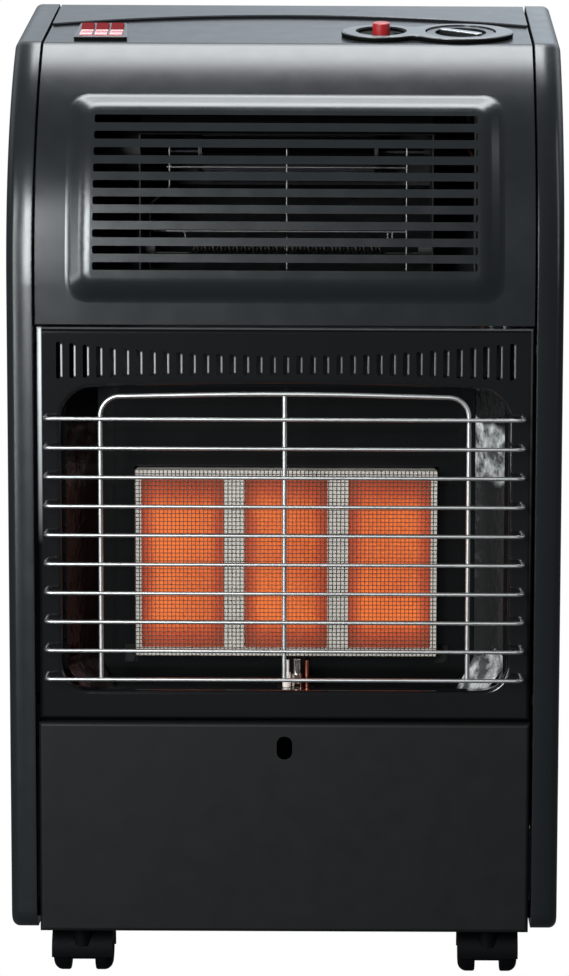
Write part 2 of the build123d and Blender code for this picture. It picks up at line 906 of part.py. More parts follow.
def wire_guard():
    """The guard's wires run by run: ten bars with hooked ends, and a frame behind with a middle wire."""
    front = guard_setback()
    back = frame_setback()
    run = guard_half - 2 * guard_bend
    wires = []
    for i in range(guard_bars):
        z = guard_top_bar_z - i * guard_bar_pitch
        wires.append(along_x(-run, run, front, z, guard_wire / 2))
        for sign in (-1, 1):
            x = sign * guard_half
            hook = [(sign * run, front, z), (x, front, z), (x, guard_leg_end, z)]
            wires.append(tube(hook, guard_wire / 2, guard_bend))
    low_z = guard_top_bar_z - (guard_bars - 1) * guard_bar_pitch
    side_z = guard_frame_top_z - guard_frame_drop
    turn = 1.5 * guard_frame_corner
    share = turn / guard_frame_half
    turn_z = side_z + guard_frame_drop * share
    radius = guard_frame_wire / 2
    for sign in (-1, 1):
        x = sign * guard_frame_half
        wires.append(upright(x, back, low_z, side_z - turn, radius))
        corner = [(x, back, side_z - turn), (x, back, side_z), (x - sign * turn, back, turn_z)]
        wires.append(tube(corner, radius, guard_frame_corner))
    arch = 20 * guard_frame_half
    crown = [(turn - guard_frame_half, back, turn_z), (0, back, guard_frame_top_z),
             (guard_frame_half - turn, back, turn_z)]
    wires.append(tube(crown, radius, arch))
    lean = math.atan2(guard_frame_drop, guard_frame_half)
    crown_z = guard_frame_top_z - arch * (1 / math.cos(lean) - 1)
    wires.append(upright(0, back, low_z, crown_z - radius + guard_weld, radius))
    return wires


# ================================================================ chamber
def burner_centre_z():
    return (burner_low_z + burner_high_z) / 2


def chamber_liner():
    back = block(-chamber_back_half, chamber_back_half, chamber_back, chamber_back + liner_sheet,
                 chamber_low_z - liner_sheet, chamber_high_z + liner_sheet)
    half = burner_half + liner_clear
    back = back - block(-half, half, chamber_back - 1, chamber_back + 2,
                        burner_low_z - liner_clear, burner_high_z + liner_clear)
    plan = polygon((-chamber_front_half, chamber_front), (chamber_front_half, chamber_front),
                   (chamber_back_half, chamber_back), (-chamber_back_half, chamber_back))
    floor = plan_slab(plan, chamber_low_z - liner_sheet, chamber_low_z)
    roof = plan_slab(plan, chamber_high_z, chamber_high_z + liner_sheet)
    outer_half = opening_half + opening_rim
    flange = block(-outer_half, outer_half, chamber_front - liner_sheet, chamber_front,
                   chamber_low_z - liner_sheet, opening_mid_z + opening_rim)
    flange = flange - block(-chamber_front_half, chamber_front_half, chamber_front - 2, chamber_front + 1,
                            chamber_low_z, chamber_high_z)
    liner = back + floor + roof + flange
    lines = ((pilot_x, pilot_pipe_radius), (electrode_x, lead_radius), (thermocouple_x, capillary_radius))
    for x, radius in lines:
        hole = radius + line_hole_clear
        liner = liner - upright(x, pilot_setback, chamber_low_z - 3, chamber_low_z + 3, hole)
    return liner


def reflector(sign):
    """Bright side plate, slanting in towards the burner, with a ramp along its foot."""
    run = chamber_back - chamber_front
    lean = chamber_front_half - chamber_back_half
    length = math.hypot(run, lean) - 0.6
    tall = chamber_high_z - chamber_low_z
    plate = Pos(length / 2, reflector_sheet / 2, tall / 2) * Box(length, reflector_sheet, tall)
    ramp_face = ribbon([(reflector_sheet / 2, reflector_ramp_rise), (reflector_ramp_run, -reflector_sheet)],
                       reflector_sheet)
    ramp = extrude(Plane((0, 0, 0), x_dir=(0, 1, 0), z_dir=(1, 0, 0)) * ramp_face, length)
    turn = math.degrees(math.atan2(run, -lean))
    place = Pos(point(chamber_front_half + reflector_sheet, chamber_front, chamber_low_z)) * Rot(0, 0, turn)
    room = block(0, panel_half, chamber_front, chamber_back, chamber_low_z, chamber_high_z)
    part = ((place * plate) + (place * ramp)) & room
    return part if sign > 0 else mirror(part, Plane.YZ)


def window_places():
    return [-window_pitch, 0, window_pitch]


def burner_frame():
    z = burner_centre_z()
    tall = burner_high_z - burner_low_z
    cap = front_slab(Pos(0, z) * RectangleRounded(2 * burner_half, tall, 3), burner_front,
                     burner_front + burner_frame_depth)
    inner = Rectangle(2 * (burner_half - frame_sheet), tall - 2 * frame_sheet)
    back = burner_front + burner_frame_depth
    cap = cap - front_slab(Pos(0, z) * inner, burner_front + frame_sheet, back + 1)
    for x in window_places():
        window = Pos(x, z) * RectangleRounded(window_width, window_height, 1)
        cap = cap - front_slab(window, burner_front - 1, burner_front + 2 * frame_sheet)
    for sign in (-1, 1):
        inner, outer = sorted((sign * (burner_half - frame_sheet), sign * (burner_half + ear_reach)))
        low = burner_low_z - ear_drop
        cap = cap + block(inner, outer, chamber_back - frame_sheet, chamber_back, low, low + 2 * ear_drop)
    return cap


def plaque_front():
    return burner_front + frame_sheet + plaque_clear


def burner_plaques():
    z = burner_centre_z()
    tiles = []
    for x in window_places():
        face = Pos(x, z) * Rectangle(plaque_width, plaque_height)
        tiles.append(front_slab(face, plaque_front(), plaque_front() + plaque_thick))
    return tiles


def burner_housing():
    z = burner_centre_z()
    wide = 2 * (burner_half - frame_sheet - housing_clear)
    tall = burner_high_z - burner_low_z - 2 * (frame_sheet + housing_clear)
    front = burner_front + frame_sheet
    body = front_slab(Pos(0, z) * Rectangle(wide, tall), front, housing_back)
    seat = plaque_front() + plaque_thick
    for x in window_places():
        pocket = Pos(x, z) * Rectangle(plaque_width + 2 * plaque_clear, plaque_height + 2 * plaque_clear)
        body = body - front_slab(pocket, front - 1, seat)
    low = z - tall / 2
    for x in window_places():
        body = body + upright(x, mixer_setback, mixer_low_z, low + 1, mixer_radius)
    for x in window_places():
        plenum = Pos(x, z) * Rectangle(plaque_width - 2 * plenum_margin, plaque_height - 2 * plenum_margin)
        body = body - front_slab(plenum, seat - 1, housing_back - housing_wall)
        body = body - upright(x, mixer_setback, mixer_low_z - 1, z, mixer_bore)
    return body


def burner_mesh():
    """Wire screen over the burner, drawn as one flat net of square gaps."""
    z = burner_centre_z()
    wide = 2 * burner_half
    tall = burner_high_z - burner_low_z
    net = front_slab(Pos(0, z) * Rectangle(wide, tall), burner_front - mesh_thick, burner_front)
    gap_x = (wide - 2 * mesh_rim + mesh_bar) / mesh_columns - mesh_bar
    gap_z = (tall - 2 * mesh_rim + mesh_bar) / mesh_rows - mesh_bar
    grid = GridLocations(gap_x + mesh_bar, gap_z + mesh_bar, mesh_columns, mesh_rows)
    gaps = Sketch() + [place * Rectangle(gap_x, gap_z) for place in grid]
    return net - front_slab(Pos(0, z) * gaps, burner_front - mesh_thick - 1, burner_front + 1)


# ================================================================ gas train
def gas_manifold():
    z = manifold_z
    bar = along_x(manifold_left, manifold_right, mixer_setback, z, manifold_radius)
    for x in window_places():
        bar = bar + upright(x, mixer_setback, z, manifold_boss_top, manifold_boss_radius)
    for x in (manifold_left + 6, manifold_right - 10):
        bar = bar + block(x - 6, x + 6, mixer_setback, divider_setback, z - 4, z + 4)
    bar = bar - along_x(manifold_left + 4, manifold_right + 1, mixer_setback, z, manifold_bore)
    for x in window_places():
        bar = bar - upright(x, mixer_setback, z, manifold_boss_top + 1, injector_bore)
    return bar


def injectors():
    pieces = []
    for x in window_places():
        base = Pos(point(x, mixer_setback, manifold_boss_top + 2.5))
        nut = base * extrude(RegularPolygon(injector_radius + 1.5, 6), 2.5, both=True)
        nose = upright(x, mixer_setback, manifold_boss_top, injector_top, injector_radius)
        bore = upright(x, mixer_setback, manifold_boss_top - 1, injector_top + 1, injector_bore)
        pieces.append(nut + nose - bore)
    return pieces


def valve_point(x, w):
    """A point of the valve block, x across and w along the spindle, as x, setback and height."""
    place = top_plane(knob_x, knob_setback, w).origin
    return x, place.Y - front_y, place.Z


def valve_centre_w():
    return (valve_top + valve_low) / 2


def valve_inlet():
    place = valve_point(knob_x, valve_centre_w())
    return place[0], place[1] + valve_size / 2, place[2]


def gas_valve_body():
    body = on_top(knob_x, knob_setback, valve_low, valve_top, RectangleRounded(valve_size, valve_size, 3))
    bore = Circle(plunger_radius + shaft_clear)
    body = body - on_top(knob_x, knob_setback, plunger_low - 6, valve_top + 1, bore)
    x, setback, z = valve_inlet()
    port = rod((x, setback - 6, z), (x, setback + 6, z), hose_tail_radius + 3)
    flat = rod((x, setback + 1.5, z), (x, setback + 8, z), hose_tail_radius + 4)
    body = body + port - flat
    # ears that hang the valve from the underside of the top flange, clear of the knob's hole
    ear_half = knob_hole_radius + ear_thick + 2
    ears = on_top(knob_x, knob_setback, valve_top - ear_thick, -sheet, Rectangle(2 * ear_half, ear_width))
    room = Rectangle(2 * (ear_half - ear_thick), ear_width + 2)
    ears = ears - on_top(knob_x, knob_setback, valve_top, 0, room)
    return body + (ears - on_top(knob_x, knob_setback, valve_top - 2 * ear_thick, 0, bore))


def valve_plunger():
    sleeve = on_top(knob_x, knob_setback, plunger_low, plunger_top, Circle(plunger_radius))
    bore = Circle(spindle_radius + shaft_clear)
    return sleeve - on_top(knob_x, knob_setback, plunger_low + spindle_seat, plunger_top + 1, bore)


def valve_spindle():
    return on_top(knob_x, knob_setback, plunger_low + spindle_seat, knob_under + 1, Circle(spindle_radius))


def gas_knob():
    disc = on_top(knob_x, knob_setback, knob_under, knob_top, Circle(knob_radius))
    rims = disc.edges().filter_by(GeomType.CIRCLE)
    disc = fillet(rims, 0.6)
    dish = on_top(knob_x, knob_setback, knob_dish_floor, knob_top + 1, Circle(knob_dish_radius))
    grip_face = Rot(0, 0, grip_angle) * RectangleRounded(grip_length, grip_width, grip_width / 2 - 0.2)
    grip = on_top(knob_x, knob_setback, knob_dish_floor - 0.5, grip_top, grip_face)
    grip = fillet(grip.faces().sort_by(Axis.Z)[-1].edges(), 1.0)
    hub = on_top(knob_x, knob_setback, knob_hub_low, knob_under, Circle(knob_hub_radius))
    knob = disc - dish + grip + hub
    return knob - on_top(knob_x, knob_setback, knob_hub_low - 1, knob_under + 1, Circle(spindle_radius))


def console_face():
    """Plan of the console: two lobes joined by a waist, drawn about the knob's axis."""
    shift = igniter_x - knob_x
    lobes = Ellipse(knob_lobe_x, knob_lobe_v) + Pos(shift, 0) * Ellipse(igniter_lobe_x, igniter_lobe_v)
    face = lobes + Pos(shift / 2, 0) * Rectangle(-shift / 2, 2 * waist_half)
    return fillet(face.vertices(), waist_round)


def control_bezel():
    body = on_top(knob_x, knob_setback, 0, console_height, console_face())
    body = fillet(body.faces().sort_by(Axis.Z)[-1].edges(), console_round)
    body = body - on_top(knob_x, knob_setback, -1, console_height + 1, Circle(knob_hole_radius))
    return body - on_top(igniter_x, knob_setback, -1, console_height + 1, Circle(well_radius))


def igniter_body():
    dish = on_top(igniter_x, knob_setback, 0, 1.2, Circle(well_radius - 0.3))
    rim = on_top(igniter_x, knob_setback, 0, console_height - 0.8, Circle(well_radius - 0.3))
    rim = rim - on_top(igniter_x, knob_setback, -1, console_height, Circle(well_radius - 1.6))
    barrel = on_top(igniter_x, knob_setback, igniter_body_low, 0.5, Circle(igniter_body_radius))
    body = dish + rim + barrel
    body = body - on_top(igniter_x, knob_setback, igniter_floor, 5, Circle(button_radius + button_clear))
    lamp = Pos(lamp_offset, 0) * Circle(lamp_radius)
    return body + on_top(igniter_x, knob_setback, 0.5, 2.6, lamp)


def igniter_button():
    button = on_top(igniter_x, knob_setback, button_low, button_top, Circle(button_radius))
    rims = button.edges().filter_by(GeomType.CIRCLE).sort_by(Axis.Z)[-1]
    return fillet(rims, 1.2)


def hose_tail():
    x, setback, z = valve_inlet()
    start = setback + 1.5
    collar = rod((x, start, z), (x, divider_upper_setback + 2 * divider_sheet, z), tail_collar_radius)
    end = divider_upper_setback + hose_tail_out
    shank = rod((x, start, z), (x, end, z), hose_tail_radius)
    return collar + shank - rod((x, start - 1, z), (x, end + 1, z), hose_tail_radius - 1.5)


def burner_pipe():
    x, setback, z = valve_point(knob_x, valve_centre_w())
    route = [(manifold_right, mixer_setback, manifold_z), (burner_riser_x, mixer_setback, manifold_z),
             (burner_riser_x, mixer_setback, z), (burner_riser_x, setback, z),
             (x + valve_size / 2, setback, z)]
    return tube(route, burner_pipe_radius, pipe_bend * 0.6)


def valve_tap(offset_x, length):
    """Two points under the valve: on its lower face, and straight out of it by length."""
    x, setback, z = valve_point(knob_x + offset_x, valve_low)
    x2, setback2, z2 = valve_point(knob_x + offset_x, valve_low - length)
    return (x, setback, z), (x2, setback2, z2)


def pilot_pipe():
    start, out = valve_tap(tap_offset, tap_length)
    foot = chamber_low_z + pilot_plate_rise
    route = [start, out, (pilot_riser_x, pilot_riser_setback, riser_top_z),
             (pilot_riser_x, pilot_riser_setback, pilot_run_z),
             (pilot_riser_x, pilot_setback, pilot_run_z), (pilot_x, pilot_setback, pilot_run_z),
             (pilot_x, pilot_setback, foot)]
    return tube(route, pilot_pipe_radius, pipe_bend / 2)


def thermocouple():
    start, out = valve_tap(-tap_offset, tap_length)
    run_z = lead_run_z + 1
    route = [start, out, (capillary_riser_x, riser_setback, riser_top_z - tap_length / 2),
             (capillary_riser_x, riser_setback, run_z), (capillary_riser_x, pilot_setback, run_z),
             (thermocouple_x, pilot_setback, run_z), (thermocouple_x, pilot_setback, chamber_low_z + 6)]
    lead = tube(route, capillary_radius, pipe_bend * 0.35)
    return lead + upright(thermocouple_x, pilot_setback, chamber_low_z + 4, burner_low_z - 2, lead_radius)


def ignition_lead():
    place = top_plane(igniter_x, knob_setback, igniter_body_low).origin
    out = top_plane(igniter_x, knob_setback, igniter_body_low - 10).origin
    route = [(igniter_x, place.Y - front_y, place.Z), (igniter_x, out.Y - front_y, out.Z),
             (lead_riser_x, riser_setback, out.Z), (lead_riser_x, riser_setback, lead_run_z),
             (lead_riser_x, lead_run_setback, lead_run_z), (electrode_x + 24, lead_run_setback, lead_run_z),
             (electrode_x, pilot_setback, lead_run_z), (electrode_x, pilot_setback, chamber_low_z + 3)]
    return tube(route, lead_radius, pipe_bend * 0.3)


def pilot_bracket():
    low = chamber_low_z
    high = low + pilot_plate_rise
    left = electrode_x - 8
    right = thermocouple_x + 6
    front = pilot_setback - 6
    back = pilot_setback + 8
    plate = block(left, right, front, back, high - frame_sheet, high)
    for x in (left, right - frame_sheet):
        plate = plate + block(x, x + frame_sheet, front, back, low, high)
    lines = ((pilot_x, pilot_pipe_radius), (electrode_x, lead_radius), (thermocouple_x, lead_radius))
    for x, radius in lines:
        plate = plate - upright(x, pilot_setback, low, high + 1, radius + plaque_clear)
    return plate


def pilot_burner():
    low = chamber_low_z + pilot_plate_rise
    middle = low + pilot_nut_height / 2
    nut = extrude(RegularPolygon(pilot_nut_radius, 6), pilot_nut_height / 2, both=True)
    nut = Pos(point(pilot_x, pilot_setback, middle)) * nut
    barrel = upright(pilot_x, pilot_setback, low + pilot_nut_height - 1, burner_low_z - 1, 2.9)
    jet = rod((pilot_x, pilot_setback - 5, middle), (pilot_x, pilot_setback, middle), 2.4)
    return nut + barrel - jet


def spark_electrode():
    low = chamber_low_z + pilot_plate_rise
    body = upright(electrode_x - 1.2, pilot_setback, low, low + 11, 3.2)
    neck = upright(electrode_x - 1.2, pilot_setback, low + 10, burner_low_z - 1.5, 2.1)
    return body + neck


# ================================================================ electric section
def switch_face():
    half = switch_length / 2
    face = polygon((-switch_front_half, -half), (switch_front_half, -half),
                   (switch_rear_half, half), (-switch_rear_half, half))
    return fillet(face.vertices(), 3)


def rocker_places():
    return [-rocker_pitch, 0, rocker_pitch]


def switch_frame():
    return top_plane(switch_x, switch_setback)


def rocker_axis(extra, half):
    """Solid along the rockers' common pivot, extra thicker than their pins."""
    place = switch_frame() * Pos(-half, 0, rocker_pin_w) * Rot(0, 90, 0)
    return place * extrude(Circle(rocker_pin_radius + extra), 2 * half)


def switch_bezel():
    body = on_top(switch_x, switch_setback, 0, switch_rear_height + 1, switch_face())
    half = switch_length / 2 + 1
    wedge = polygon((-half, switch_front_height), (half, switch_rear_height + 0.2),
                    (half, switch_rear_height + 5), (-half, switch_rear_height + 5))
    place = switch_frame() * Pos(-2 * switch_front_half, 0, 0)
    cut = extrude(Plane((0, 0, 0), x_dir=(0, 1, 0), z_dir=(1, 0, 0)) * wedge, 4 * switch_front_half)
    body = body - place * cut
    for x in rocker_places():
        slot = Pos(x, 0) * Rectangle(rocker_pocket, rocker_slot_length)
        body = body - on_top(switch_x, switch_setback, -1, 2 * switch_rear_height, slot)
    return body - rocker_axis(shaft_clear, 1.5 * rocker_pitch)


def switch_bodies():
    pieces = []
    for x in rocker_places():
        outer = Pos(x, 0) * Rectangle(rocker_pitch - 0.2, rocker_slot_length + 2 * switch_body_wall - 0.4)
        room = Pos(x, 0) * Rectangle(rocker_pocket, rocker_slot_length)
        body = on_top(switch_x, switch_setback, switch_body_low, 0, outer)
        body = body - on_top(switch_x, switch_setback, -12, 1, room)
        for v in (-8, 0, 8):
            tab = Pos(x, v) * Rectangle(4.8, 0.8)
            body = body + on_top(switch_x, switch_setback, switch_body_low - 8, switch_body_low, tab)
        pieces.append(body)
    return pieces


def rocker(x):
    """Rocker with a shallow valley across its middle, on two short pins."""
    half = rocker_length / 2
    side = polygon((-half, 6.4), (0, 4.4), (half, 6.4), (half, 0.5), (6, -6), (-6, -6), (-half, 0.5))
    side = fillet(side.vertices().sort_by(Axis.Y)[-2:], 0.8)
    face = Plane((-rocker_width / 2, 0, 0), x_dir=(0, 1, 0), z_dir=(1, 0, 0)) * side
    body = extrude(face, rocker_width)
    pin_half = rocker_width / 2 + (rocker_pocket - rocker_width) / 2 + rocker_pin_out
    pin = Pos(-pin_half, 0, 0) * Rot(0, 90, 0) * extrude(Circle(rocker_pin_radius), 2 * pin_half)
    shape = Pos(0, 0, -rocker_pin_w) * body + pin
    place = switch_frame() * Pos(x, 0, rocker_pin_w) * Rot(rocker_rest_tilt, 0, 0)
    return place * shape


def fan_housing():
    path = [(duct_front, duct_low_z), (duct_bend, duct_low_z),
            (duct_rear, duct_slope_z), (duct_rear, duct_high_z)]
    shell = side_slab(ribbon(path, duct_sheet), -duct_half, duct_half)
    roof_z = duct_high_z - duct_sheet
    lip = [(duct_front, duct_lip_z), (duct_lip_back, roof_z), (duct_throat, roof_z)]
    shell = shell + side_slab(ribbon(lip, duct_sheet), -duct_half, duct_half)
    cheek = polygon((duct_front, duct_low_z), (duct_bend, duct_low_z), (duct_rear, duct_slope_z),
                    (duct_rear, duct_high_z), (duct_lip_back, duct_high_z), (duct_front, duct_lip_z))
    shell = shell + side_slab(cheek, -duct_half, duct_sheet - duct_half)
    shell = shell + side_slab(cheek, duct_half - duct_sheet, duct_half)
    bush = along_x(duct_half - bush_length, duct_half, fan_setback, fan_z, 2 * fan_shaft_radius)
    shell = shell + bush
    shell = shell - along_x(duct_half - bush_length - 1, duct_half + 1, fan_setback, fan_z,
                            fan_shaft_radius + shaft_clear)
    shaft_hole = fan_shaft_radius + 1
    shell = shell - along_x(-duct_half - 1, 2 * duct_sheet - duct_half, fan_setback, fan_z, shaft_hole)
    foot_front = duct_bend + 4
    foot_z = duct_low_z - duct_foot_drop
    for sign in (-1, 1):
        inner, outer = sorted((sign * (duct_half - duct_foot_width), sign * duct_half))
        shell = shell + block(inner, outer, foot_front, divider_setback, foot_z, foot_z + duct_sheet)
        shell = shell + block(inner, outer, foot_front, foot_front + duct_sheet, foot_z, duct_low_z + 6)
    return shell


def fan_impeller():
    drum = along_x(-fan_half, fan_disc - fan_half, fan_setback, fan_z, fan_radius)
    drum = drum + along_x(fan_half - fan_disc, fan_half, fan_setback, fan_z, fan_radius)
    drum = drum + along_x(-duct_half - 14, duct_half - 0.5, fan_setback, fan_z, fan_shaft_radius)
    mid = fan_radius - fan_blade_depth / 2 - 0.5
    for i in range(fan_blades):
        turn = 360 / fan_blades * i
        blade = Box(2 * fan_half - fan_disc, fan_blade_depth, fan_blade_thick)
        blade = Pos(0, mid, 0) * Rot(30, 0, 0) * blade
        drum = drum + Pos(point(0, fan_setback, fan_z)) * Rot(turn, 0, 0) * blade
    return drum


def fan_motor():
    right = -duct_half
    body = along_x(right - motor_length, right, fan_setback, fan_z, motor_radius)
    ends = body.edges().filter_by(GeomType.CIRCLE)
    body = fillet(ends, 2)
    return body - along_x(right - motor_bore, right + 1, fan_setback, fan_z, fan_shaft_radius + shaft_clear)


def element_frame():
    s = element_setback
    r = element_wire
    floor = duct_low_z + duct_sheet
    z = element_rod_low_z
    back = s + holder_radius + r + 0.5
    clear = s + coil_radius + coil_wire + r + 0.5
    stay = element_rod_half - 2 * r
    foot = element_rod_half + holder_radius * 2
    hook_x = coil_half + 5 * r
    high = along_x(-element_rod_half, element_rod_half, s, element_rod_high_z, r)
    low = tube([(element_rod_half, s, z), (-element_rod_half, s, z), (-foot, back, z)], r, 3)
    left = [(-stay, s, element_top_z), (-stay, s, z + 33), (-foot, back, z + 20), (-foot, back, floor)]
    right = upright(element_rod_half, s, floor, element_top_z, r)
    middle = tube([(0, clear, floor), (0, clear, z - 4), (0, s, z + 6), (0, s, element_top_z - 4)], r, 3)
    hook = tube([(-hook_x, s, z - 7), (-hook_x, s, z), (-hook_x - 10, s, z)], r * 0.9, 3)
    whole = high + low + tube(left, r, 5) + right + middle + hook
    for x in (hook_x - 0.5, hook_x + 3):
        whole = whole + upright(x, s, z - 7, z, r * 0.8)
    return whole


def coil_way():
    """The turns' direction where they pass under the coil's middle line: along x, and across."""
    run = coil_half / coil_turns / math.pi
    length = math.hypot(run, coil_radius)
    return run / length, coil_radius / length


def lead_setback(sign):
    return element_setback + sign * lead_bend * (1 - coil_way()[0])


def biarc(p0, t0, p1, t1):
    """Two arcs that leave p0 along t0 and reach p1 along t1."""
    chord = p1 - p0
    total = t0 + t1
    qa = total.dot(total) - 4
    qb = -2 * chord.dot(total)
    qc = chord.dot(chord)
    arm = (-qb - math.sqrt(qb * qb - 4 * qa * qc)) / (2 * qa)
    if arm < 0:
        arm = (-qb + math.sqrt(qb * qb - 4 * qa * qc)) / (2 * qa)
    a = p0 + t0 * arm
    b = p1 - t1 * arm
    middle = (a + b) * 0.5
    return [TangentArc(p0, middle, tangent=t0), TangentArc(middle, p1, tangent=(b - a).normalized())]


def heating_coil():
    """Element wire: a row of turns between two straight leads, bent in with a short curve."""
    run = coil_half / coil_turns / math.pi

    def on_helix(quarter):
        angle = quarter * math.pi / 2
        x = -coil_half + run * angle
        across = coil_radius * math.sin(angle)
        return point(x, element_setback + across, coil_z - coil_radius * math.cos(angle))

    def way(quarter):
        angle = quarter * math.pi / 2
        return Vector(run, coil_radius * math.cos(angle), coil_radius * math.sin(angle)).normalized()

    quarters = 4 * coil_turns
    across = coil_way()[1]
    low = coil_z - coil_radius
    bend_in = point(-coil_half - lead_bend * across, lead_setback(-1), low)
    bend_out = point(coil_half + lead_bend * across, lead_setback(1), low)
    edges = [Line(point(-lead_half, lead_setback(-1), low), bend_in)]
    edges.append(TangentArc(bend_in, on_helix(0), tangent=(1, 0, 0)))
    for q in range(quarters):
        edges += biarc(on_helix(q), way(q), on_helix(q + 1), way(q + 1))
    edges.append(TangentArc(on_helix(quarters), bend_out, tangent=way(quarters)))
    edges.append(Line(bend_out, point(lead_half, lead_setback(1), low)))
    path = Wire(edges)
    coil = sweep((path ^ 0) * Circle(coil_wire), path)
    shares = [k / 16 for k in range(8, 33)]
    gap = min((on_helix(4) - on_helix(4 + 4 * k)).length for k in shares) - 2 * coil_wire
    print("heating coil: least gap to itself %.2f mm" % gap)
    return coil


def element_holders():
    pieces = []
    face = duct_half - duct_sheet
    for sign in (-1, 1):
        inner, outer = sorted((sign * (face - holder_length), sign * face))
        holder = along_x(inner, outer, element_setback, coil_z, holder_radius)
        mouth, floor = sorted((sign * (face - holder_length - 1), sign * (lead_half + 0.1)))
        bore = along_x(mouth, floor, lead_setback(sign), coil_z - coil_radius, coil_wire + holder_bore_clear)
        pieces.append(holder - bore)
    return pieces


def mains_gland():
    s = divider_upper_setback
    face = s + divider_sheet

    def barrel(start, end, radius):
        return rod((gland_x, start, gland_z), (gland_x, end, gland_z), radius)
    flange = barrel(face, face + gland_flange, gland_radius + gland_flange)
    body = barrel(s - gland_in, s + gland_out, gland_radius)
    return body + flange - barrel(s - gland_in - 1, s + gland_out + 1, gland_bore)


# ================================================================ castors
def castor_hood(x, setback):
    """Castor body: web between the wheels, fender over them, swivel post with its stem, and axle."""
    axle_s = setback + castor_trail
    z = wheel_radius
    inner = wheel_radius + fender_clear
    outer = inner + fender_sheet
    left = x - castor_half
    right = x + castor_half
    fender = along_x(left, right, axle_s, z, outer) - along_x(left - 1, right + 1, axle_s, z, inner)
    fender = fender - block(left - 1, right + 1, axle_s - 2 * outer, axle_s + 2 * outer,
                            -outer, z - fender_drop)
    web = along_x(x - castor_web_half, x + castor_web_half, axle_s, z, castor_web_radius)
    under_fender = along_x(x - castor_web_half, x + castor_web_half, axle_s, z, inner + fender_sheet / 2)
    room = block(left, right, setback - post_radius, axle_s + castor_web_radius, z, z + outer)
    post = upright(x, setback, z + castor_web_radius / 2, post_top_z, post_radius)
    stem = upright(x, setback, post_top_z - 1, stem_top_z, stem_radius)
    axle = along_x(left + fender_clear, right - fender_clear, axle_s, z, axle_radius)
    return web + (under_fender & room) + fender + post + stem + axle


def castor_wheel(x, setback, sign):
    axle_s = setback + castor_trail
    left, right = sorted((x + sign * wheel_offset, x + sign * (wheel_offset + wheel_width)))
    wheel = along_x(left, right, axle_s, wheel_radius, wheel_radius)
    for side, radius in ((sign, wheel_outer_round), (-sign, wheel_inner_round)):
        rim = wheel.edges().filter_by(GeomType.CIRCLE).sort_by(Axis.X)[-1 if side > 0 else 0]
        wheel = fillet(rim, radius)
    return wheel - along_x(left - 1, right + 1, axle_s, wheel_radius, axle_radius + wheel_bore_clear)


# ================================================================ fasteners
def panel_screws():
    """Screws that show: two at the burner frame's lower corners, four at the rear of the top."""
    pieces = []
    for x in (-burner_half - frame_screw_out, burner_half + frame_screw_out):
        place = (x, chamber_back - frame_sheet, burner_low_z - frame_screw_drop)
        head = rod(place, (place[0], place[1] - screw_head, place[2]), screw_head_radius)
        pieces.append(head)
    z = height - rear_skirt * 0.8
    for share in (-1, -1 / 3, 1 / 3, 1):
        x = share * rear_screw_half
        start = top_depth - rear_inset
        pieces.append(rod((x, start, z), (x, start + screw_head, z), screw_head_radius))
    return pieces


def build():
    parts = {
        "left_side_panel": side_panel(-1),
        "right_side_panel": side_panel(1),
        "upper_fascia": upper_fascia(),
        "rear_top_panel": rear_top_panel(),
        "top_seal": top_seal(),
        "burner_surround": burner_surround(),
        "lower_front_panel": lower_front_panel(),
        "base_tray": base_tray(),
        "rear_divider": rear_divider(),
        "rear_cover": rear_cover(),
        "wire_guard": wire_guard(),
        "chamber_liner": chamber_liner(),
        "left_reflector": reflector(-1),
        "right_reflector": reflector(1),
        "burner_frame": burner_frame(),
        "burner_plaques": burner_plaques(),
        "burner_housing": burner_housing(),
        "burner_mesh": burner_mesh(),
        "gas_manifold": gas_manifold(),
        "injectors": injectors(),
        "gas_valve_body": gas_valve_body(),
        "valve_plunger": valve_plunger(),
        "valve_spindle": valve_spindle(),
        "gas_knob": gas_knob(),
        "control_bezel": control_bezel(),
        "igniter_body": igniter_body(),
        "igniter_button": igniter_button(),
        "hose_tail": hose_tail(),
        "burner_pipe": burner_pipe(),
        "pilot_pipe": pilot_pipe(),
        "thermocouple": thermocouple(),
        "ignition_lead": ignition_lead(),
        "pilot_bracket": pilot_bracket(),
        "pilot_burner": pilot_burner(),
        "spark_electrode": spark_electrode(),
        "switch_bezel": switch_bezel(),
        "switch_bodies": switch_bodies(),
        "fan_housing": fan_housing(),
        "fan_impeller": fan_impeller(),
        "fan_motor": fan_motor(),
        "element_frame": element_frame(),
        "heating_coil": heating_coil(),
        "element_holders": element_holders(),
        "mains_gland": mains_gland(),
        "panel_screws": panel_screws(),
    }
    for name, x in zip(("left", "centre", "right"), rocker_places()):
        parts["rocker_" + name] = rocker(x)
    for name, x, setback in castor_places():
        parts["castor_hood_" + name] = castor_hood(x, setback)
        parts["castor_wheel_" + name + "_outer"] = castor_wheel(x, setback, math.copysign(1, x))
        parts["castor_wheel_" + name + "_inner"] = castor_wheel(x, setback, -math.copysign(1, x))
    return parts


def write(parts):
    os.makedirs("parts", exist_ok=True)
    for name, shape in parts.items():
        if isinstance(shape, list):
            shape = Compound(children=shape)
        export_step(shape, "parts/" + name + ".step")


write(build())
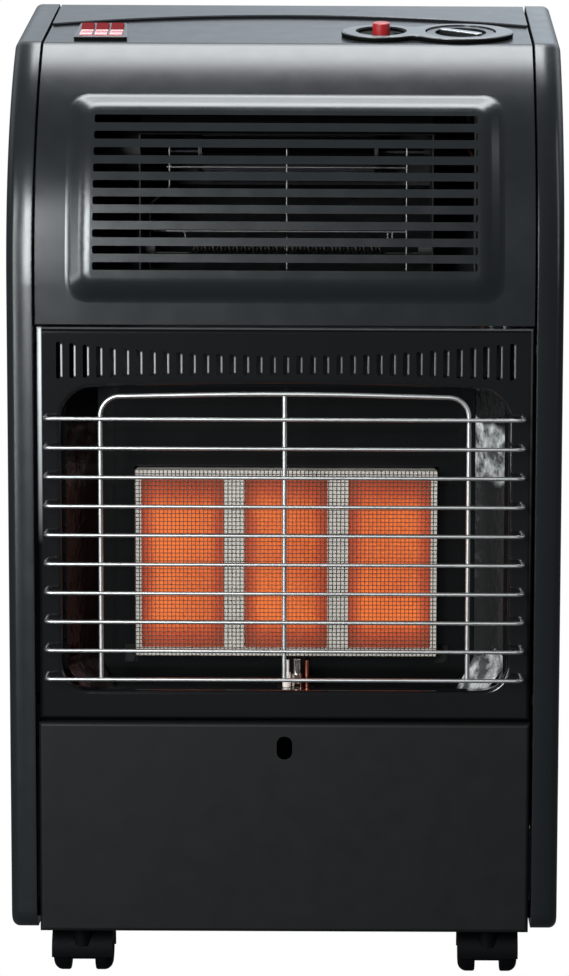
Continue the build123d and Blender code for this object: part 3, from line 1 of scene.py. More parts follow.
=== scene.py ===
import json
import math
import bpy
import bmesh
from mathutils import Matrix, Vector


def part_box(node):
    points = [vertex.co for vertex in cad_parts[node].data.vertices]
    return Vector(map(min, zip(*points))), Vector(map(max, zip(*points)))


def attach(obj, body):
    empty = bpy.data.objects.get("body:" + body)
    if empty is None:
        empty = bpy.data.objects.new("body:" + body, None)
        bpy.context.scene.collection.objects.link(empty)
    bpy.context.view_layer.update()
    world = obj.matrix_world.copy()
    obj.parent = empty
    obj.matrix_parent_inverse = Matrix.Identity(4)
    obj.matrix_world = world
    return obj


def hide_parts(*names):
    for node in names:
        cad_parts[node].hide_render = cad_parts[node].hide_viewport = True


# Portable gas cabinet heater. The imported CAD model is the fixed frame; this script adds the camera,
# the studio, every surface's material and the burner's fine wire screen. Sizes and places are in metres.

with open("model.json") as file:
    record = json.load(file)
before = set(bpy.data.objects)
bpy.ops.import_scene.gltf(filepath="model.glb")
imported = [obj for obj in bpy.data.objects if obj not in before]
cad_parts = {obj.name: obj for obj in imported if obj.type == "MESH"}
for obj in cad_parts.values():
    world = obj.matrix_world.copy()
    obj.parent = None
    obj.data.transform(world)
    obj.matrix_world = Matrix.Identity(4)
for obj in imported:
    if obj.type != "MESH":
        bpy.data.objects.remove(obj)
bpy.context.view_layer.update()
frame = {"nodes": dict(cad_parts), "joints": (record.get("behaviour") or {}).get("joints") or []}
NODES = frame["nodes"]
JOINTS = {joint["name"]: joint for joint in frame["joints"]}
scene = bpy.context.scene

# ---------------------------------------------------------------- camera
PHOTO_HEIGHT_PX = 976
FOCAL_PX = 3195.0
# how far right of the photo's middle its depth lines meet
VANISH_OFFSET_PX = 78.5
SENSOR_MM = 36.0
CAMERA_PLACE = Vector((0.058, -2.591, 0.6818))
CAMERA_PITCH = math.radians(7.0)
CAMERA_ROLL = math.radians(-0.25)
CLIP_START = 0.05
CLIP_END = 60.0


def make_camera():
    """The photograph's camera, looking along +Y and down by its pitch."""
    data = bpy.data.cameras.new("camera")
    data.sensor_fit = "VERTICAL"
    data.sensor_height = SENSOR_MM
    data.lens = FOCAL_PX * SENSOR_MM / PHOTO_HEIGHT_PX
    data.shift_x = -VANISH_OFFSET_PX / PHOTO_HEIGHT_PX
    data.clip_start = CLIP_START
    data.clip_end = CLIP_END
    camera = bpy.data.objects.new("camera", data)
    scene.collection.objects.link(camera)
    camera.location = CAMERA_PLACE
    camera.rotation_mode = "XYZ"
    camera.rotation_euler = (math.pi / 2 - CAMERA_PITCH, CAMERA_ROLL, 0)
    scene.camera = camera


# ---------------------------------------------------------------- node helpers
# nearly all values of a noise lie between these two
NOISE_LOW = 0.3
NOISE_HIGH = 0.7
# a Mix node has sockets of the same name for each kind of data; these are the places of its colour sockets
MIX_FIRST_COLOUR = 6
MIX_SECOND_COLOUR = 7
MIX_COLOUR_RESULT = 2
BEND_RADIUS = 0.0012
BEND_SAMPLES = 6
CROWN_RADIUS = 0.035


class NodeTree:
    """Short calls for the nodes of a material or of the world."""

    def __init__(self, tree):
        self.tree = tree

    def new(self, kind, **settings):
        node = self.tree.nodes.new(kind)
        for key, value in settings.items():
            setattr(node, key, value)
        return node

    def give(self, socket, value):
        """Link another node's output to a socket, or set the socket to a number, a vector or a colour."""
        if isinstance(value, bpy.types.NodeSocket):
            self.tree.links.new(value, socket)
        elif socket.type == "RGBA":
            socket.default_value = (*value, 1.0)
        else:
            socket.default_value = value

    def part(self, vector, letter):
        """The X, Y or Z of a vector."""
        node = self.new("ShaderNodeSeparateXYZ")
        self.give(node.inputs["Vector"], vector)
        return node.outputs[letter]

    def span(self, value, low, high, to_low, to_high, **settings):
        """Goes from to_low to to_high while value goes from low to high, and stays there beyond."""
        node = self.new("ShaderNodeMapRange", **settings)
        limits = {"From Min": low, "From Max": high, "To Min": to_low, "To Max": to_high}
        for key, number in limits.items():
            node.inputs[key].default_value = number
        self.give(node.inputs["Value"], value)
        return node.outputs["Result"]

    def past(self, value, edge, blur=0.0003):
        """A mask: 0 up to edge, and 1 from a blur beyond it."""
        return self.span(value, edge, edge + blur, 0.0, 1.0)

    def until(self, value, edge, blur):
        """A mask: 1 up to edge, and 0 from a blur beyond it."""
        return self.span(value, edge, edge + blur, 1.0, 0.0)

    def choose(self, mask, off, on):
        """The number off where a mask is 0, and on where it is 1."""
        return self.span(mask, 0.0, 1.0, off, on)

    def vary(self, noise, least, most):
        """Spreads a noise's usual values from least to most."""
        return self.span(noise, NOISE_LOW, NOISE_HIGH, least, most)

    def math(self, operation, *values):
        """Works out a number from one or two others."""
        node = self.new("ShaderNodeMath", operation=operation)
        for socket, value in zip(node.inputs, values):
            self.give(socket, value)
        return node.outputs[0]

    def chain(self, operation, result, *others):
        """Takes in one value after another with the same operation."""
        for other in others:
            result = self.math(operation, result, other)
        return result

    def product(self, *factors):
        return self.chain("MULTIPLY", *factors)

    def magnitude(self, value):
        return self.math("ABSOLUTE", value)

    def squared(self, value):
        return self.math("POWER", self.magnitude(value), 2.0)

    def off_nearest(self, value, pitch, start):
        """Distance from the nearest of a row of places a pitch apart.

        The first of them is half a pitch after start, which lies below every value.
        """
        within = self.math("MODULO", self.math("SUBTRACT", value, start), pitch)
        return self.magnitude(self.math("SUBTRACT", within, pitch / 2))


class Shader(NodeTree):
    """A Principled material under construction, with short calls for what its looks need."""

    def __init__(self, name, **values):
        self.material = bpy.data.materials.new(name)
        self.material.use_nodes = True
        super().__init__(self.material.node_tree)
        self.bsdf = self.tree.nodes["Principled BSDF"]
        self.place = self.new("ShaderNodeTexCoord").outputs["Object"]
        for key, value in values.items():
            self.feed(key.replace("_", " "), value)

    def feed(self, name, value):
        """Link or set one of the material's own sockets."""
        self.give(self.bsdf.inputs[name], value)

    def axis(self, letter):
        """The X, Y or Z of the shaded point, which moves with its body."""
        return self.part(self.place, letter)

    def noise(self, cells, detail=2.0, rough=0.5, stretch=None):
        """Cloudy noise with so many cells to the metre; stretch multiplies them along each axis."""
        place = self.place
        if stretch:
            mapping = self.new("ShaderNodeMapping")
            self.give(mapping.inputs["Scale"], stretch)
            self.give(mapping.inputs["Vector"], place)
            place = mapping.outputs["Vector"]
        node = self.new("ShaderNodeTexNoise")
        self.give(node.inputs["Scale"], cells)
        self.give(node.inputs["Detail"], detail)
        self.give(node.inputs["Roughness"], rough)
        self.give(node.inputs["Vector"], place)
        return node.outputs["Fac"]

    def mix(self, factor, first, second):
        """The first colour where factor is 0, and the second where it is 1."""
        node = self.new("ShaderNodeMix", data_type="RGBA")
        self.give(node.inputs["Factor"], factor)
        self.give(node.inputs[MIX_FIRST_COLOUR], first)
        self.give(node.inputs[MIX_SECOND_COLOUR], second)
        return node.outputs[MIX_COLOUR_RESULT]

    def relief(self, height, strength, depth, base=None):
        """A normal that leans with the slope of height, on top of a base normal."""
        node = self.new("ShaderNodeBump")
        self.give(node.inputs["Strength"], strength)
        self.give(node.inputs["Distance"], depth)
        self.give(node.inputs["Height"], height)
        if base:
            self.give(node.inputs["Normal"], base)
        return node.outputs["Normal"]

    def crowned(self, inner):
        """A normal for a pressed panel: its folds are bends, and outside inner it falls off in an arc."""
        bend = self.new("ShaderNodeBevel", samples=BEND_SAMPLES)
        self.give(bend.inputs["Radius"], BEND_RADIUS)
        outward = self.math("SUBTRACT", self.magnitude(self.axis("X")), inner)
        # near its top an arc falls by the square of the distance over twice its radius
        drop = self.product(self.squared(outward), -0.5 / CROWN_RADIUS)
        return self.relief(drop, strength=1.0, depth=1.0, base=bend.outputs["Normal"])


# ---------------------------------------------------------------- families of materials
# how many cells to the metre each unevenness has, and how deep it is
CLOUDS = 9.0
GLOSS_PATCHES = 60.0
ORANGE_PEEL = 1100.0
PEEL_DEPTH = 0.0001
STREAKS = 160.0
STREAK_DEPTH = 0.0002
MOULD_CLOUDS = 25.0
MOULD_GRAIN = 700.0
GRAIN_STRENGTH = 0.15
GRAIN_DEPTH = 0.00008
# nearly all values of the streaks lie between these two
STREAK_LOW = 0.25
STREAK_HIGH = 0.75
# how rough the clear gloss on plastics is
COAT_ROUGH = 0.08


def grey(level):
    return (level, level, level)


def shade(colour, factor):
    """A darker or lighter colour, at most white."""
    return tuple(min(part * factor, 1.0) for part in colour)


def about(value, share):
    """The value less and more by a share of it."""
    return value * (1 - share), value * (1 + share)


def paint(name, colour, rough, peel=0.12, specular=0.5, inner=None):
    """Sprayed paint with faint orange peel and slightly uneven gloss and tone.

    With inner, it is that of a crowned side panel, and on what lies nearer to the middle than inner it is
    painted near black with little gloss: painted shade on the inner flanges in the gaps between the panels.
    """
    look = Shader(name, Specular_IOR_Level=specular)
    tone = look.mix(look.noise(CLOUDS, detail=3.0), shade(colour, 0.9), shade(colour, 1.12))
    normal = None
    if inner:
        # painted shade: nearer the middle than inner, on the flanges in the gaps, the paint is near black and
        # hardly glossy
        outside = look.past(look.magnitude(look.axis("X")), inner)
        tone = look.mix(outside, grey(0.001), tone)
        look.feed("Specular IOR Level", look.product(outside, specular))
        normal = look.crowned(inner)
    look.feed("Base Color", tone)
    look.feed("Roughness", look.vary(look.noise(GLOSS_PATCHES, detail=4.0), *about(rough, 0.08)))
    look.feed("Normal", look.relief(look.noise(ORANGE_PEEL), peel, PEEL_DEPTH, base=normal))
    return look.material


def drawn_streaks(look, stretch):
    """Noise in streaks along the way a metal was drawn or rolled."""
    return look.noise(STREAKS, detail=4.0, rough=0.6, stretch=stretch)


def metal(name, colour, rough, stretch=(1, 1, 1), grain=0.1):
    """Bare or plated metal."""
    look = Shader(name, Metallic=1.0)
    drawn = drawn_streaks(look, stretch)
    look.feed("Base Color", look.mix(drawn, shade(colour, 0.82), shade(colour, 1.1)))
    look.feed("Roughness", look.span(drawn, STREAK_LOW, STREAK_HIGH, *about(rough, 0.25)))
    look.feed("Normal", look.relief(drawn, grain, STREAK_DEPTH))
    return look.material


def plastic(name, colour, rough, coat=0.0, specular=0.5):
    """Moulded plastic with a fine spark-eroded grain; rubber and ceramic pieces have it too."""
    look = Shader(name, Coat_Weight=coat, Coat_Roughness=COAT_ROUGH, Specular_IOR_Level=specular)
    look.feed("Base Color", look.mix(look.noise(MOULD_CLOUDS), colour, shade(colour, 1.15)))
    look.feed("Roughness", look.vary(look.noise(MOULD_GRAIN, detail=3.0), *about(rough, 0.1)))
    look.feed("Normal", look.relief(look.noise(2 * MOULD_GRAIN), GRAIN_STRENGTH, GRAIN_DEPTH))
    return look.material


# ---------------------------------------------------------------- glowing plaques
PLAQUES = 3
PLAQUE_PITCH = 0.080
PLAQUE_HALF_WIDTH = 0.032
BORE_PITCH = 0.0021
BORE_DEPTH = 0.0004
HEAT_PATCHES = 15.0
CERAMIC_GRAIN = 420.0
PLAQUES_LOW, PLAQUES_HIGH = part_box("burner_plaques")
CERAMIC = (0.14, 0.045, 0.025)
BORE_SHADE = (0.07, 0.018, 0.01)
# the glow's colour at rising heat
GLOW_STEPS = ((0.25, (0.3, 0.035, 0.013)), (0.68, (0.58, 0.068, 0.016)), (1.0, (0.82, 0.16, 0.024)))


def plaque_heat(look, x, z):
    """Hottest in the middle of each plaque, cooler at its sides and ends, and uneven all over."""
    middle_z = (PLAQUES_LOW.z + PLAQUES_HIGH.z) / 2
    half_height = (PLAQUES_HIGH.z - PLAQUES_LOW.z) / 2
    off_middle_line = look.off_nearest(x, PLAQUE_PITCH, -PLAQUES / 2 * PLAQUE_PITCH)
    # both go from 0 in a plaque's middle to 1 at its border
    side = look.math("DIVIDE", off_middle_line, PLAQUE_HALF_WIDTH)
    end = look.math("DIVIDE", look.magnitude(look.math("SUBTRACT", z, middle_z)), half_height)
    return look.product(
        look.span(side, low=0.62, high=1.05, to_low=1.0, to_high=0.45),
        look.span(end, low=0.66, high=1.02, to_low=1.0, to_high=0.35),
        look.vary(look.noise(HEAT_PATCHES, detail=3.0), least=0.79, most=1.1),
        look.vary(look.noise(CERAMIC_GRAIN, rough=0.6), least=0.88, most=1.12),
    )


def plaque_bores(look, x, z):
    """Peaks where the ceramic's fine bores stand in rows."""
    waves = [look.math("SINE", look.product(axis, 2 * math.pi / BORE_PITCH)) for axis in (x, z)]
    return look.product(*waves)


def glow_colour(look, heat):
    """The colour of the glow, from dull red to orange."""
    ramp = look.new("ShaderNodeValToRGB")
    stops = ramp.color_ramp.elements
    stops.remove(stops[-1])
    for position, colour in GLOW_STEPS:
        stops.new(position).color = (*colour, 1.0)
    stops.remove(stops[0])
    look.give(ramp.inputs["Fac"], heat)
    return ramp.outputs["Color"]


def glowing_ceramic():
    """Porous ceramic plates, lit."""
    look = Shader("lit_ceramic", Roughness=0.9)
    x = look.axis("X")
    z = look.axis("Z")
    heat = plaque_heat(look, x, z)
    bores = plaque_bores(look, x, z)
    brightness = look.product(
        look.span(heat, low=0.2, high=1.1, to_low=0.45, to_high=1.15),
        look.span(bores, low=0.1, high=0.7, to_low=1.0, to_high=0.7),
    )
    look.feed("Base Color", look.mix(look.past(bores, 0.2, blur=0.4), CERAMIC, BORE_SHADE))
    look.feed("Emission Color", glow_colour(look, heat))
    look.feed("Emission Strength", brightness)
    look.feed("Normal", look.relief(bores, strength=0.4, depth=BORE_DEPTH))
    return look.material


# ---------------------------------------------------------------- burner frame and woven screen
SCREEN_LOW, SCREEN_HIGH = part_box("burner_mesh")
SCREEN_PITCH = 0.0031
WIRE_RADIUS = 0.00028
WIRE_WAVE = 0.00018
WIRE_SIDES = 5
ACROSS = Vector((1, 0, 0))
BACKWARD = Vector((0, 1, 0))
UPWARD = Vector((0, 0, 1))
EAR_START_X = SCREEN_HIGH.x + 0.0002
EAR_TOP_Z = SCREEN_LOW.z - 0.0002


def frame_steel():
    """Light steel face; the fixing ears beside and below it are painted near black with little gloss, painted
    shade that hides them in the dark chamber.
    """
    look = Shader("burner_steel", Roughness=0.5)
    drawn = drawn_streaks(look, (1, 1, 6))
    beside = look.past(look.magnitude(look.axis("X")), EAR_START_X, blur=0.0004)
    below = look.until(look.axis("Z"), EAR_TOP_Z, blur=0.0002)
    # painted shade on the ears beside and below the face
    shaded_ear = look.math("MAXIMUM", beside, below)
    face = look.mix(drawn, (0.475, 0.432, 0.39), (0.595, 0.542, 0.49))
    look.feed("Base Color", look.mix(shaded_ear, face, grey(0.01)))
    look.feed("Metallic", look.choose(shaded_ear, off=0.3, on=0.0))
    look.feed("Specular IOR Level", look.choose(shaded_ear, off=0.5, on=0.08))
    look.feed("Normal", look.relief(drawn, strength=0.1, depth=STREAK_DEPTH))
    return look.material


def weave_wire(wires, start, step, side, crossings, phase):
    """One wire from start, a step to each crossing, by turns behind and in front of what it crosses."""
    rings = []
    for k in range(crossings + 1):
        wave = WIRE_WAVE if (k + phase) % 2 else -WIRE_WAVE
        centre = start + step * k + BACKWARD * wave
        ring = []
        for n in range(WIRE_SIDES):
            angle = 2 * math.pi * n / WIRE_SIDES
            reach = side * math.cos(angle) + BACKWARD * math.sin(angle)
            ring.append(wires.verts.new(centre + reach * WIRE_RADIUS))
        rings.append(ring)
    for near, far in zip(rings, rings[1:]):
        for n in range(WIRE_SIDES):
            after = (n + 1) % WIRE_SIDES
            face = wires.faces.new((near[n], near[after], far[after], far[n]))
            face.smooth = True


def woven_screen():
    """The burner's fine wire screen, wire by wire, where the solid net has coarse square gaps."""
    width = SCREEN_HIGH.x - SCREEN_LOW.x
    height = SCREEN_HIGH.z - SCREEN_LOW.z
    middle_y = (SCREEN_LOW.y + SCREEN_HIGH.y) / 2
    columns = round(width / SCREEN_PITCH)
    rows = round(height / SCREEN_PITCH)
    corner = Vector((SCREEN_LOW.x + WIRE_RADIUS, middle_y, SCREEN_LOW.z + WIRE_RADIUS))
    sideways = ACROSS * ((width - 2 * WIRE_RADIUS) / columns)
    upwards = UPWARD * ((height - 2 * WIRE_RADIUS) / rows)
    wires = bmesh.new()
    for column in range(columns + 1):
        weave_wire(wires, corner + sideways * column, upwards, ACROSS, rows, column)
    for row in range(rows + 1):
        weave_wire(wires, corner + upwards * row, sideways, UPWARD, columns, row + 1)
    mesh = bpy.data.meshes.new("woven_screen")
    wires.to_mesh(mesh)
    wires.free()
    screen = bpy.data.objects.new("woven_screen", mesh)
    scene.collection.objects.link(screen)
    mesh.materials.append(metal("screen_wire", colour=(0.12, 0.098, 0.078), rough=0.5, grain=0.05))
    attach(screen, "cabinet")
    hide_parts("burner_mesh")


# ---------------------------------------------------------------- reflectors, guard and screws
# the right reflector's patches, painted near white as painted reflections of the lights, lie below the first
# of these and between the next two
LOWER_PATCH_TOP_Z = SCREEN_LOW.z + 0.004
UPPER_PATCH_LOW_Z = SCREEN_HIGH.z - 0.011
UPPER_PATCH_HIGH_Z = UPPER_PATCH_LOW_Z + 0.045
# the left reflector lies before the first of these, and the right one beyond the second
LEFT_X = -0.01
RIGHT_X = 0.01
RAGGED_REACH = 0.012
TOP_DARK_BLUR = 0.008
DENTS = 26.0
CREASES = 75.0
CRUMPLE_DEPTH = 0.006
PLATE_CLOUDS = 40.0
# the screws beside the burner lie before the first of these, and the rear ones behind the second
CHAMBER_SCREWS_Y = -0.05
REAR_SCREWS_Y = 0.0


def beaten_sheet():
    """Thin bright sheet, crumpled and dark with heat. On the right, patches above and below the burner are
    painted near white as painted reflections of the lights, and the left sheet is painted darker as painted
    shade. Both are near black at the top.
    """
    look = Shader("reflector_sheet")
    x = look.axis("X")
    z = look.axis("Z")
    dents = look.noise(DENTS, stretch=(1.0, 1.0, 0.55))
    creases = look.noise(CREASES, detail=3.0, rough=0.6)
    waver = look.span(dents, low=0.2, high=0.8, to_low=-RAGGED_REACH, to_high=RAGGED_REACH)
    ragged_z = look.math("ADD", z, waver)
    above = look.product(
        look.past(ragged_z, UPPER_PATCH_LOW_Z, blur=0.005),
        look.until(ragged_z, UPPER_PATCH_HIGH_Z, blur=0.005),
    )
    below = look.until(ragged_z, LOWER_PATCH_TOP_Z, blur=0.003)
    right = look.past(x, LEFT_X, blur=RIGHT_X - LEFT_X)
    # the patches of clean crumpled foil that are painted near white, painted reflections of the lights; on
    # the left reflector they are faint
    highlit = look.product(look.math("MAXIMUM", above, below), look.choose(right, off=0.1, on=1.0))
    painted_highlight = look.mix(look.past(creases, 0.42, blur=0.22), grey(0.1), (0.9, 0.9, 0.89))
    # the heat stain, painted darker and redder on the left reflector as painted shade; the top of both is
    # near black
    stained_and_shaded = look.mix(right, (0.06, 0.02, 0.018), grey(0.13))
    uppermost = look.past(z, UPPER_PATCH_HIGH_Z - TOP_DARK_BLUR / 2, TOP_DARK_BLUR)
    darkened_tone = look.mix(uppermost, stained_and_shaded, grey(0.008))
    shine = look.product(look.choose(highlit, off=0.85, on=0.4), look.choose(uppermost, off=1.0, on=0.05))
    crumples = look.product(look.math("ADD", dents, creases), look.choose(highlit, off=0.2, on=0.8))
    look.feed("Base Color", look.mix(highlit, darkened_tone, painted_highlight))
    look.feed("Metallic", shine)
    look.feed("Specular IOR Level", look.choose(uppermost, off=0.5, on=0.05))
    look.feed("Roughness", look.choose(highlit, off=0.16, on=0.36))
    look.feed("Normal", look.relief(crumples, strength=0.9, depth=CRUMPLE_DEPTH))
    return look.material


def guard_plate():
    """Satin plate on the guard's wires: even, with no grain."""
    look = Shader("guard_chrome", Metallic=1.0)
    tone = look.noise(PLATE_CLOUDS)
    look.feed("Base Color", look.mix(tone, (0.5, 0.495, 0.485), (0.57, 0.565, 0.55)))
    look.feed("Roughness", look.vary(tone, least=0.4, most=0.44))
    return look.material


def screw_zinc():
    """Zinc on the screws at the back; those beside the burner are blackened by its heat."""
    look = Shader("screw_zinc", Metallic=1.0, Roughness=0.4)
    rear = look.past(look.axis("Y"), CHAMBER_SCREWS_Y, blur=REAR_SCREWS_Y - CHAMBER_SCREWS_Y)
    look.feed("Base Color", look.mix(rear, grey(0.03), (0.6, 0.6, 0.62)))
    return look.material


# ---------------------------------------------------------------- burner surround
SURROUND_SIDE_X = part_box("burner_surround")[1].x
SURROUND_TOP_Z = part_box("burner_surround")[1].z
VENTS = 35
VENT_PITCH = 0.01008
VENT_HALF_SPAN = (VENTS - 1) / 2 * VENT_PITCH
# pitches from the last vent to beyond the surround's side
SPARE_PITCHES = 3
# the painted highlight on the bead on each vent's right, and how far its ends move apart from the middle vent
# to the last
BEAD_OFFSET = 0.0026
BEAD_HALF_WIDTH = 0.0004
BEAD_LOW_Z = SURROUND_TOP_Z - 0.0336
BEAD_LOW_FALL = 0.0038
BEAD_HIGH_Z = SURROUND_TOP_Z - 0.0224
BEAD_HIGH_RISE = 0.0098
BEAD_END_BLUR = 0.0012
BEAD_ROW_MARGIN = 0.002
# the painted highlights on the outer edges, and how far below the top the upright ones are full and then gone
LEFT_EDGE = 0.0034
RIGHT_EDGE = 0.0022
TOP_EDGE = 0.0016
FULL_EDGE_LENGTH = 0.03
LEFT_EDGE_LENGTH = 0.165
RIGHT_EDGE_LENGTH = 0.24


def vent_bead_highlights(look, x, z):
    """The painted highlight on the bead beside each vent, brightest on the left, the side the light comes
    from.
    """
    off_bead = look.off_nearest(x, VENT_PITCH, BEAD_OFFSET - (VENTS / 2 + SPARE_PITCHES) * VENT_PITCH)
    off_middle = look.magnitude(look.math("SUBTRACT", x, BEAD_OFFSET))
    spread = look.squared(look.math("DIVIDE", x, VENT_HALF_SPAN))
    over_low = look.math("ADD", z, look.product(spread, BEAD_LOW_FALL))
    over_high = look.math("SUBTRACT", z, look.product(spread, BEAD_HIGH_RISE))
    return look.product(
        look.until(off_bead, BEAD_HALF_WIDTH, blur=0.0005),
        look.past(over_low, BEAD_LOW_Z - BEAD_END_BLUR / 2, BEAD_END_BLUR),
        look.until(over_high, BEAD_HIGH_Z - BEAD_END_BLUR / 2, BEAD_END_BLUR),
        look.span(x, -VENT_HALF_SPAN, 0.0, to_low=0.5, to_high=0.11),
        look.until(off_middle, VENT_HALF_SPAN + BEAD_ROW_MARGIN, blur=0.001),
    )


def edge_highlights(look, x, z):
    """How bright the painted highlights on the surround's left, top and right edges are."""
    right_start = SURROUND_SIDE_X - RIGHT_EDGE
    top_start = SURROUND_TOP_Z - TOP_EDGE

    def fade_down(length):
        return look.span(z, SURROUND_TOP_Z - length, SURROUND_TOP_Z - FULL_EDGE_LENGTH, 0.0, 1.0)

    left = look.product(look.until(x, LEFT_EDGE - SURROUND_SIDE_X, blur=0.0008), fade_down(LEFT_EDGE_LENGTH))
    top = look.span(z, top_start, top_start + TOP_EDGE / 2, to_low=0.0, to_high=0.16)
    right = look.span(x, right_start, right_start + 0.0004, to_low=0.0, to_high=0.11)
    return look.chain("MAXIMUM", left, top, look.product(right, fade_down(RIGHT_EDGE_LENGTH)))


def surround_gloss():
    """Gloss black enamel, with painted highlights on the pressed bead beside each vent and along the outer
    edges.
    """
    look = Shader("surround_gloss", Coat_Weight=0.5, Coat_Roughness=0.05)
    x = look.axis("X")
    z = look.axis("Z")
    clouds = look.noise(CLOUDS, detail=3.0)
    enamel = look.mix(clouds, (0.004, 0.0041, 0.0045), (0.005, 0.0051, 0.0056))
    # painted highlights: near white on the vent beads and along the outer edges
    painted_highlight = look.math("MAXIMUM", vent_bead_highlights(look, x, z), edge_highlights(look, x, z))
    look.feed("Base Color", look.mix(painted_highlight, enamel, (0.85, 0.86, 0.86)))
    look.feed("Roughness", look.choose(painted_highlight, off=0.12, on=0.35))
    look.feed("Normal", look.relief(look.noise(ORANGE_PEEL), strength=0.05, depth=PEEL_DEPTH))
    return look.material


# ---------------------------------------------------------------- controls on the sloping top
TOP_NORMAL = Vector(JOINTS["knob_turn"]["axis"])
ROCKER_PIVOT_Y = JOINTS["centre_rocker_tilt"]["pos_m"][1]
ROCKER_BLEND = 0.001
CONSOLE_EDGE_HEIGHT = 0.0011
SWITCH_FRONT_THICKNESS = 0.0014
GRIP_FACE_DEPTH = 0.0009


def rise_of(name):
    """How far a node reaches along the normal of the cabinet's sloping top."""
    return max(vertex.co.dot(TOP_NORMAL) for vertex in NODES[name].data.vertices)


def rise_of_point(look):
    """How far the shaded point lies along that normal."""
    along_y = look.product(look.axis("Y"), TOP_NORMAL.y)
    along_z = look.product(look.axis("Z"), TOP_NORMAL.z)
    return look.math("ADD", along_y, along_z)


def console_top(look):
    """The control bezel's upper face, within its rounded edge."""
    return look.past(rise_of_point(look), rise_of("control_bezel") - CONSOLE_EDGE_HEIGHT)


def switch_top(look):
    """The switch bezel's wedge, behind its upright front face."""
    return look.past(look.axis("Y"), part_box("switch_bezel")[0].y + SWITCH_FRONT_THICKNESS)


def bezel_plastic(name, find_top):
    """Smooth top that mirrors the room, over sides painted matt near black as painted shade."""
    look = Shader(name, Coat_Roughness=COAT_ROUGH)
    top = find_top(look)
    # the sides are painted near black with little gloss: painted shade under the lit top
    look.feed("Base Color", look.mix(top, grey(0.002), (0.03, 0.03, 0.032)))
    look.feed("Roughness", look.choose(top, off=0.7, on=0.3))
    look.feed("Specular IOR Level", look.choose(top, off=0.05, on=0.8))
    look.feed("Coat Weight", look.choose(top, off=0.0, on=0.3))
    return look.material


def knob_plastic():
    """Black knob with a silvered top on its grip."""
    look = Shader("gas_knob", Coat_Weight=0.2, Coat_Roughness=COAT_ROUGH, Roughness=0.3)
    silver = look.past(rise_of_point(look), rise_of("gas_knob") - GRIP_FACE_DEPTH)
    look.feed("Base Color", look.mix(silver, (0.01, 0.01, 0.012), (0.3, 0.305, 0.31)))
    look.feed("Metallic", silver)
    return look.material


def rocker_red():
    """Red rockers: the half nearer the user is lighter and glossy, the far half is dark and matt."""
    look = Shader("rocker_red", Coat_Roughness=COAT_ROUGH)
    front = look.until(look.axis("Y"), ROCKER_PIVOT_Y - ROCKER_BLEND / 2, ROCKER_BLEND)
    look.feed("Base Color", look.mix(front, (0.12, 0.006, 0.008), (0.66, 0.3, 0.3)))
    look.feed("Roughness", look.choose(front, off=0.8, on=0.16))
    look.feed("Specular IOR Level", look.choose(front, off=0.07, on=0.5))
    look.feed("Coat Weight", look.choose(front, off=0.0, on=0.8))
    return look.material


# ---------------------------------------------------------------- materials on the CAD nodes
CHARCOAL = (0.0095, 0.0108, 0.0115)
CABINET_ROUGH = 0.24
# the side panels' inner flanges lie nearer to the middle than this
FLANGE_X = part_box("right_side_panel")[0].x + 0.0016


def dress(material, *names):
    """Give CAD nodes a material."""
    for name in names:
        node = NODES[name]
        if not node.data.materials:
            node.data.materials.append(material)
        for slot in node.material_slots:
            slot.link = "DATA"
            slot.material = material


def dress_cabinet():
    side_paint = paint("side_panel_paint", colour=CHARCOAL, rough=CABINET_ROUGH, inner=FLANGE_X)
    front_paint = paint("cabinet_paint", colour=CHARCOAL, rough=CABINET_ROUGH)
    lower_paint = paint("lower_front_paint", colour=(0.006, 0.006, 0.0061), rough=0.5, specular=0.2)
    rear_paint = paint("rear_paint", colour=(0.02, 0.022, 0.024), rough=0.5)
    # the seal in the top joint is a rubber strip, painted near black with little gloss as the shade of the
    # joint's gap
    seal_rubber = plastic("seal_rubber", colour=(0.002, 0.002, 0.003), rough=0.7, specular=0.1)
    castor_black = plastic("castor_black", colour=(0.002, 0.002, 0.0024), rough=0.6, specular=0.06)
    dress(side_paint, "left_side_panel", "right_side_panel")
    dress(front_paint, "upper_fascia", "rear_top_panel")
    dress(lower_paint, "lower_front_panel")
    dress(rear_paint, "base_tray", "rear_divider", "rear_cover")
    dress(surround_gloss(), "burner_surround")
    dress(screw_zinc(), "panel_screws")
    dress(seal_rubber, "top_seal")
    dress(castor_black, *[name for name in NODES if name.startswith("castor_")])


def dress_burner():
    dress(glowing_ceramic(), "burner_plaques")
    dress(frame_steel(), "burner_frame", "burner_mesh")
    dress(guard_plate(), "wire_guard")
    dress(beaten_sheet(), "left_reflector", "right_reflector")
    dress(paint("liner_enamel", colour=grey(0.003), rough=0.14, peel=0.05), "chamber_liner")
    dress(metal("aluminised_sheet", colour=grey(0.5), rough=0.45), "burner_housing")
    dress(metal("heated_zinc", colour=(0.12, 0.07, 0.06), rough=0.35), "pilot_bracket")
    dress(metal("pilot_nut", colour=(0.8, 0.72, 0.68), rough=0.12), "pilot_burner")
    dress(metal("copper", colour=(0.5, 0.16, 0.1), rough=0.32), "thermocouple")
    dress(plastic("electrode_ceramic", colour=(0.78, 0.7, 0.64), rough=0.25, coat=0.5), "spark_electrode")


def dress_gas_line():
    brass = metal("gas_brass", colour=(0.72, 0.52, 0.24), rough=0.3)
    tube = metal("drawn_tube", colour=(0.65, 0.65, 0.66), rough=0.28, stretch=(4, 4, 0.5))
    dress(brass, "injectors", "gas_valve_body", "hose_tail", "valve_plunger", "valve_spindle")
    dress(tube, "burner_pipe", "pilot_pipe")
    dress(metal("zinc_plate", colour=(0.6, 0.6, 0.62), rough=0.3), "gas_manifold")


